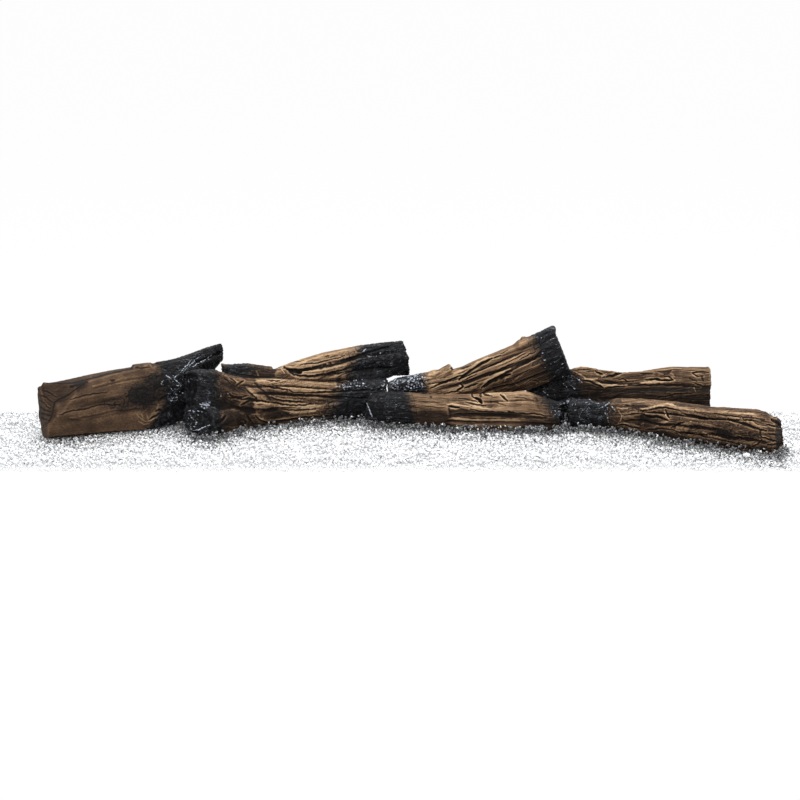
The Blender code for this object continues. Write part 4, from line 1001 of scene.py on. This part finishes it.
RIGHT_LOG = Wood(
    grain=((567, 408), (620, 413), (680, 420), (740, 427), (784, 434)),
    voxel=1.0, run=70, pitch=6.5, depth=0.75, ledges=0.5, cracks=0.4,
    tone=0.32, contrast=0.7, top=0.06, seed=34.0,
    strokes={
        "crack": (
            (1.1, (640, 411), (650, 409.8), (657, 407.8), (665, 407.6), (672, 408.7), (681, 411)),
            (0.9, (665, 410), (667, 414), (669.5, 418)),
            (1.1, (616, 425.7), (624, 425), (632, 427.3), (641, 428.7)),
            (1.0, (645, 430.5), (658, 428.5), (672, 430), (682, 434)),
            (1.6, (728, 419), (740, 422.5), (750, 426), (757, 428.7), (766, 431)),
            (1.0, (684, 434), (696, 433), (706, 436.7), (718, 439.5), (732, 442.5), (745, 447)),
            (1.1, (760.5, 437), (770, 439.8), (780, 442)),
        ),
        "groove": (
            (0.9, (624, 415.5), (634, 414), (641, 414)),
            (0.9, (712, 413.5), (720, 414.5), (735, 416.5), (750, 417.5), (765, 419.5)),
            (1.3, (671, 427.5), (678, 424.2), (684, 421.8)), (1.2, (693, 425), (705, 427.5), (716, 430.5)),
            (0.9, (736, 436), (746, 440), (755, 441)), (0.9, (762, 440), (757, 444.5), (752, 447.5)),
            (1.2, (766, 424), (776, 427), (785, 428)), (1.2, (768, 434), (777, 435), (785, 434.5)),
            (1.2, (767, 445), (776, 444.5), (784, 443)),
        ),
        "hollow": (
            (1.6, (641, 413), (647, 416.7), (656, 416), (662, 418), (667, 420.5)),
            (1.7, (681, 413), (690, 415.3), (700, 417.5), (708, 419)),
            (1.5, (771.5, 418.5), (776, 423), (779, 426)),
        ),
        "dark": (
            (1.4, (625, 405), (630, 405.5)), (1.3, (760, 419), (764, 420.7)),
            (1.2, (760, 429), (760.5, 436)),
            # This stroke runs along the bottom edge and is painted shade under the log
            (1.3, (655, 438), (676, 440.7), (735, 446), (751, 448.8), (774.6, 453.2)),
        ),
        "tan": (
            (1.2, (616, 407), (622, 409), (628, 408)), (1.1, (622, 413.7), (630, 412.2), (640, 411)),
            (1.5, (658, 422.3), (664, 423), (668, 421)), (1.0, (646, 428.7), (652, 427.2), (658, 425.7)),
            (1.1, (620, 423.3), (630, 423.7), (639, 426)),
            (2.3, (622, 400.5), (640, 401.5), (655, 402), (668, 404), (680, 407.3), (700, 409.5),
             (720, 411), (740, 413), (760, 414.7)),
            (1.0, (690, 421.5), (705, 424), (720, 428), (730, 431)),
        ),
        "pale": (
            (0.8, (618.5, 411), (622, 416), (621, 420), (618, 423)),
            (1.3, (640, 409), (650, 407.3), (660, 405.3), (668, 404.3), (676, 406)),
            (0.7, (663.5, 411), (666, 415.5), (669, 419)), (0.6, (641, 425), (645, 422.5)),
            (0.9, (724, 414.7), (733, 417.2), (742, 419.7), (750, 421.7), (758, 425), (767, 427.7)),
            (0.9, (770, 426.5), (776, 428), (782, 430)),
            (0.8, (702, 432), (708, 434.7), (716, 436.3), (724, 438.3)), (0.7, (761, 435.5), (769, 438)),
        ),
        "white": (
            (0.7, (598, 409), (604, 406), (609, 402.5), (611, 401)), (0.7, (611.5, 406), (615.5, 411)),
            (0.9, (604.7, 412), (605.7, 414)),
        ),
        "rim": (
            (0.8, (576, 395.8), (571, 395.3), (569, 398), (568.5, 408)),
            (0.6, (576, 396), (580, 399), (586, 400.5), (592, 403), (606, 402.7)),
            (0.6, (580, 405), (588, 403.7)), (0.6, (570, 409.5), (578, 410)),
            (0.7, (582, 411), (580, 414.5), (579, 418), (583, 420.3), (590, 418)),
            (0.6, (607, 413), (609, 424)),
        ),
        "swell": ((8, (569, 401), (579, 401), (590, 402)), (8, (779, 423), (781, 432)),),
        "shrink": ((7, (781, 446), (778, 452)),),
        "bulge": ((6, (568, 412), (568, 428)),),
    },
    burns=(Burn((612, 394), (608, 436), -1, 6),),
    ashes=(Spot((582, 405), (14, 10), 0.18), Spot((604, 412), (9, 12), 0.18)),
    patches=(
        # The lower face is sunk and darkened, in paint and as painted shade
        Patch(-0.06, -0.4, 3, ((609, 413), (640, 420), (700, 425), (735, 422), (765, 431), (785, 434),
              (778, 456), (655, 440), (609, 430))),
        Patch(-0.14, -0.4, 1.5, ((631, 403), (648, 404), (649, 407.5), (632, 408.5))),
        Patch(-0.26, -1.2, 1.3, ((640, 412.5), (648, 416), (657, 415.3), (663, 417), (668, 420.3),
              (660, 422.3), (648, 421), (640, 418))),
        Patch(0.2, 0.5, 1.2, ((673, 431), (676, 427), (683, 423), (691, 421.5), (691, 427), (686, 431.5),
              (678, 432.5))),
        Patch(-0.2, -0.6, 2, ((716, 428.5), (724, 429), (731.5, 431), (731, 437.5), (722, 437.5),
              (716, 434))),
        Patch(0.07, 0, 1.5, ((766, 441), (778, 443), (774, 451), (765, 449))),
        Patch(-0.1, 0, 1.2, ((773.5, 417), (786, 417), (786, 455), (773.5, 455))),
    ),
)

# The crystals: their shapes, and the two layers under the bed's top
CHIP_PITCH = 6.2 * MM
CHIP_SIZE = (6.0 * MM, 9.0 * MM)
CHIP_SHAPES = 28
CHIP_CORNERS = 9
CHIP_RADII = (0.38, 0.5)
CHIP_LENGTHENING = 1.15
CHIP_FLATTENING = 0.8
CHIP_REACH = 0.6
CHIP_DEPTHS = (9.5 * MM, 4.0 * MM)
CHIP_UNEVENNESS = 0.8 * MM
CHIP_JITTER = 0.42
LEAST_HEIGHT = 0.2 * MM
STRIPS = 3
CRYSTAL_SEED = 5

# The fringe along the front, where the crystals thin out
FRINGE = 24 * MM
FRINGE_START = 0.45
FRINGE_WANDER = 0.4
FRINGE_WAVE = 40 * MM
FRINGE_SEED = 2.0
LOWER_LAYER_LEAD = 0.5
STRAY_SHARE = 0.06

# The crystals that are heaped against the logs
HEAPED_CHIPS = 9000
HEAPED_SCALE = 0.85
HEAPED_REACH = 1.3
HEAP_RISE = 11 * MM
HEAP_LOWNESS = 1.5
HEAP_SIDEWAYS = (-9, 9)
HEAP_FORWARDS = (-12, 4)
LOG_FOOT = 30 * MM
CLEARANCE = 0.4 * MM

# The dark facets: painted reflections of the logs and the surroundings, and painted shade in the heaps
STRAY_REFLECTION_SHARE = 0.012
LOG_REFLECTION_SHARE = 0.66
LOG_REFLECTION_REACH = 9 * MM
LOG_REFLECTION_FORESHORTENING = 0.2
HEAP_SHADE_AND_REFLECTION = 0.93
LAID_DARKNESS = 0.3
HEAPED_DARKNESS = 0.7
CLEAR_DARKNESS = 0.05


def chip_shapes():
    """Unit meshes of broken crystal, as corners and triangles."""
    shapes = []
    for index in range(CHIP_SHAPES):
        dice = random.Random(index)
        builder = bmesh.new()
        for _ in range(CHIP_CORNERS):
            corner = Vector([dice.gauss(0, 1) for _ in range(3)]).normalized() * dice.uniform(*CHIP_RADII)
            corner.x *= CHIP_LENGTHENING
            corner.z *= CHIP_FLATTENING
            builder.verts.new(corner)
        hull = bmesh.ops.convex_hull(builder, input=builder.verts)
        spare = [item for item in hull["geom_interior"] if isinstance(item, bmesh.types.BMVert)]
        bmesh.ops.delete(builder, geom=spare, context="VERTS")
        bmesh.ops.triangulate(builder, faces=builder.faces)
        builder.verts.index_update()
        corners = np.array([tuple(vert.co) for vert in builder.verts])
        faces = np.array([[vert.index for vert in face.verts] for face in builder.faces])
        builder.free()
        shapes.append((corners, faces))
    return shapes


def solid_tree(names):
    """The solids of some nodes as one tree for rays and distances."""
    corners, faces = [], []
    for name in names:
        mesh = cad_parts[name].data
        count = len(corners)
        corners.extend(vert.co.copy() for vert in mesh.vertices)
        faces.extend([count + index for index in face.vertices] for face in mesh.polygons)
    return BVHTree.FromPolygons(corners, faces)


def log_feet(log_names):
    """The low corners of the logs' solids."""
    return [vert.co for name in log_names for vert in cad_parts[name].data.vertices
            if vert.co.z < LOG_FOOT]


def chip_places(dice, bed):
    """Where the crystals lie: two jittered layers under the bed's top, which thin out along the front."""
    low, high = corners_of(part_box("crystal_bed"))
    reach = CHIP_SIZE[1] * CHIP_REACH
    places = []
    for depth in CHIP_DEPTHS:
        columns = np.arange(low[0] + reach, high[0] - reach, CHIP_PITCH)
        rows = np.arange(low[1] + reach, high[1] - reach, CHIP_PITCH)
        spots = np.array(np.meshgrid(columns, rows)).reshape(2, -1).T
        spots = spots + dice.uniform(-CHIP_JITTER, CHIP_JITTER, spots.shape) * CHIP_PITCH
        wave = noise(np.column_stack((spots, np.zeros(len(spots)))) / FRINGE_WAVE, FRINGE_SEED)
        edge = spots[:, 1] - low[1] - FRINGE * (FRINGE_START + FRINGE_WANDER * wave)
        lead = LOWER_LAYER_LEAD if depth == CHIP_DEPTHS[0] else 0
        share = np.clip(edge / FRINGE + lead, 0, 1)
        for x, y in spots[dice.random(len(spots)) < STRAY_SHARE + (1 - STRAY_SHARE) * share]:
            top = bed.ray_cast(Vector((x, y, 1)), Vector((0, 0, -1)))[0]
            height = (top.z if top else 0) - depth + dice.uniform(-CHIP_UNEVENNESS, CHIP_UNEVENNESS)
            places.append((x, y, height, dice.uniform(*CHIP_SIZE)))
    return places


def heaped_places(dice, logs, log_names):
    """Crystals that lie against the feet of the logs, clear of their sides."""
    feet = log_feet(log_names)
    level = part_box("crystal_bed")[1][2]
    places = []
    for _ in range(HEAPED_CHIPS):
        foot = feet[dice.integers(len(feet))]
        size = dice.uniform(*CHIP_SIZE) * HEAPED_SCALE
        aside = Vector((dice.uniform(*HEAP_SIDEWAYS), dice.uniform(*HEAP_FORWARDS), 0)) * MM
        rise = dice.uniform(0, 1) ** HEAP_LOWNESS * HEAP_RISE
        place = Vector((foot.x, foot.y, level + rise)) + aside
        near, normal, _, distance = logs.find_nearest(place)
        fits = CHIP_REACH * size + CLEARANCE < distance < HEAPED_REACH * size
        if fits and (place - near).dot(normal) > 0:
            places.append((*place, size))
    return places


def reflection_shares(places, log_names):
    """How likely a facet of each crystal is to be dark with a painted reflection: mostly in front of a log,
    whose side it mirrors.
    """
    feet = log_feet(log_names)
    tree = KDTree(len(feet))
    for index, foot in enumerate(feet):
        tree.insert(Vector((foot.x, foot.y * LOG_REFLECTION_FORESHORTENING, 0)), index)
    tree.balance()
    shares = []
    for x, y, *_ in places:
        _, index, distance = tree.find(Vector((x, y * LOG_REFLECTION_FORESHORTENING, 0)))
        if y > feet[index].y:
            distance = math.hypot(x - feet[index].x, y - feet[index].y)
        shares.append(STRAY_REFLECTION_SHARE + LOG_REFLECTION_SHARE * math.exp(-((distance / LOG_REFLECTION_REACH) ** 2)))
    return shares


def chips_mesh(name, chips, low, high):
    """One mesh of many crystals, kept inside a box, with the darkness of each facet."""
    starts = np.cumsum([0] + [len(body) for body, _, _ in chips])
    corners = np.clip(np.concatenate([body for body, _, _ in chips]), low, high)
    faces = np.concatenate([triangles + first for (_, triangles, _), first in zip(chips, starts)])
    mesh = bpy.data.meshes.new(name)
    mesh.vertices.add(len(corners))
    mesh.vertices.foreach_set("co", corners.astype(np.float32).ravel())
    mesh.loops.add(faces.size)
    mesh.loops.foreach_set("vertex_index", faces.astype(np.int32).ravel())
    mesh.polygons.add(len(faces))
    mesh.polygons.foreach_set("loop_start", np.arange(0, faces.size, 3, dtype=np.int32))
    mesh.update(calc_edges=True)
    dims = mesh.attributes.new("dim", "FLOAT", "FACE")
    dims.data.foreach_set("value", np.concatenate([dim for _, _, dim in chips]).astype(np.float32))
    return mesh


def build_crystals(material, log_names):
    """The bed as many separate chips, in strips from left to right."""
    shapes = chip_shapes()
    dice = np.random.default_rng(CRYSTAL_SEED)
    bed = solid_tree(["crystal_bed"])
    logs = solid_tree(log_names)
    low, high = corners_of(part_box("crystal_bed"))
    places = chip_places(dice, bed)
    laid = len(places)
    places += heaped_places(dice, logs, log_names[1:])
    # Dark facets: painted reflections of the logs, and painted shade and reflections in the heaps against
    # them
    shares = reflection_shares(places[:laid], log_names) + [HEAP_SHADE_AND_REFLECTION] * (len(places) - laid)
    strips = [[] for _ in range(STRIPS)]
    for index, ((x, y, z, size), share) in enumerate(zip(places, shares)):
        shape, triangles = shapes[dice.integers(CHIP_SHAPES)]
        turn = np.array(Matrix.Rotation(dice.uniform(0, math.tau), 3, Vector(dice.normal(size=3))))
        body = shape @ turn.T * size + (x, y, z)
        body[:, 2] += max(0.0, LEAST_HEIGHT - body[:, 2].min())
        if index < laid and logs.find_nearest(Vector((x, y, z)), size + CLEARANCE)[0]:
            body[:, 2] = np.minimum(body[:, 2], high[2])
        count = len(triangles)
        dark = dice.random(count) < share
        darkness = dice.uniform(LAID_DARKNESS if index < laid else HEAPED_DARKNESS, 1.0, count)
        dim = np.where(dark, darkness, dice.uniform(0, CLEAR_DARKNESS, count))
        place = (x - low[0]) / (high[0] - low[0])
        strips[min(STRIPS - 1, int(place * STRIPS))].append((body, triangles, dim))
    for number, chips in enumerate(strips, 1):
        mesh = chips_mesh(f"crystals_{number}", chips, low, (high[0], high[1], cad_box[1][2]))
        mesh.materials.append(material)
        piece = placed(f"crystals_{number}", mesh)
        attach(piece, "crystal_bed")
        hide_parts("crystal_bed")


def dress_loose_crystals(material):
    """The single crystals keep their solids and get the same finish."""
    for name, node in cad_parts.items():
        if name.startswith("loose_crystal"):
            node.data.materials.clear()
            node.data.materials.append(material)


def whitened(shader, closure, strength):
    """Mixes a closure with plain white for what the camera sees, directly or through glass and gloss."""
    rays = shader.node("ShaderNodeLightPath")
    seen = rays.outputs["Is Camera Ray"]
    for output in ("Is Glossy Ray", "Is Transmission Ray"):
        seen = shader.maths("MAXIMUM", seen, rays.outputs[output])
    white = shader.node("ShaderNodeEmission")
    white.inputs["Strength"].default_value = 1.0
    mixed = shader.node("ShaderNodeMixShader")
    sources = (shader.maths("MULTIPLY", seen, strength), closure, white.outputs[0])
    for source, socket in zip(sources, mixed.inputs):
        shader.link(source, socket)
    return mixed.outputs[0]


# The studio
FLOOR_SIZE = 60.0
FLOOR_WHITENESS = 0.97
AMBIENT = 0.52
LAMPS = (
    ("top_lamp", (0, 0.2, 2.4), (3.2, 1.8), 72),
    ("front_lamp", (0, -2.6, 1.9), (2.4, 1.2), 27),
)


def build_floor():
    mesh = bpy.data.meshes.new("floor")
    half = FLOOR_SIZE / 2
    corners = [(-half, -half, 0), (half, -half, 0), (half, half, 0), (-half, half, 0)]
    mesh.from_pydata(corners, [], [(0, 1, 2, 3)])
    floor = placed("floor", mesh)
    shader = Shader(bpy.data.materials.new("pale_floor"))
    shader.surface.inputs["Base Color"].default_value = (0.9, 0.9, 0.9, 1)
    shader.surface.inputs["Roughness"].default_value = 0.9
    closure = whitened(shader, shader.surface.outputs[0], FLOOR_WHITENESS)
    shader.link(closure, shader.tree.nodes["Material Output"].inputs["Surface"])
    mesh.materials.append(shader.owner)


def build_lights():
    world = bpy.data.worlds.new("studio")
    bpy.context.scene.world = world
    shader = Shader(world)
    ambient = shader.tree.nodes["Background"]
    ambient.inputs["Color"].default_value = (1, 1, 1, 1)
    ambient.inputs["Strength"].default_value = AMBIENT
    closure = whitened(shader, ambient.outputs[0], 1.0)
    shader.link(closure, shader.tree.nodes["World Output"].inputs["Surface"])
    for name, place, size, power in LAMPS:
        lamp = bpy.data.lights.new(name, "AREA")
        lamp.shape = "RECTANGLE"
        lamp.size, lamp.size_y = size
        lamp.energy = power
        holder = placed(name, lamp)
        holder.location = place
        holder.rotation_euler = (-Vector(place)).to_track_quat("-Z", "Y").to_euler()


def build_camera():
    camera = bpy.data.cameras.new("camera")
    camera.sensor_width = SENSOR_WIDTH
    camera.lens = SENSOR_WIDTH * CAMERA_DISTANCE / (IMAGE_WIDTH * PIXEL_SIZE)
    camera.clip_end = FLOOR_SIZE
    holder = placed("camera", camera)
    holder.location = CAMERA_AIM - AWAY * CAMERA_DISTANCE
    holder.rotation_euler = AWAY.to_track_quat("-Z", "Y").to_euler()
    bpy.context.scene.camera = holder
    bpy.context.scene.view_settings.view_transform = "Standard"


build_camera()
build_lights()
build_floor()
resin = log_material()
LOGS = {
    "left_log": LEFT_LOG,
    "forked_log": FORKED_LOG,
    "front_log": FRONT_LOG,
    "leaning_log": LEANING_LOG,
    "back_right_log": BACK_LOG,
    "right_log": RIGHT_LOG,
}
for name, wood in LOGS.items():
    dress_log(name, wood, resin)
crystal = crystal_material()
build_crystals(crystal, list(LOGS))
dress_loose_crystals(crystal)
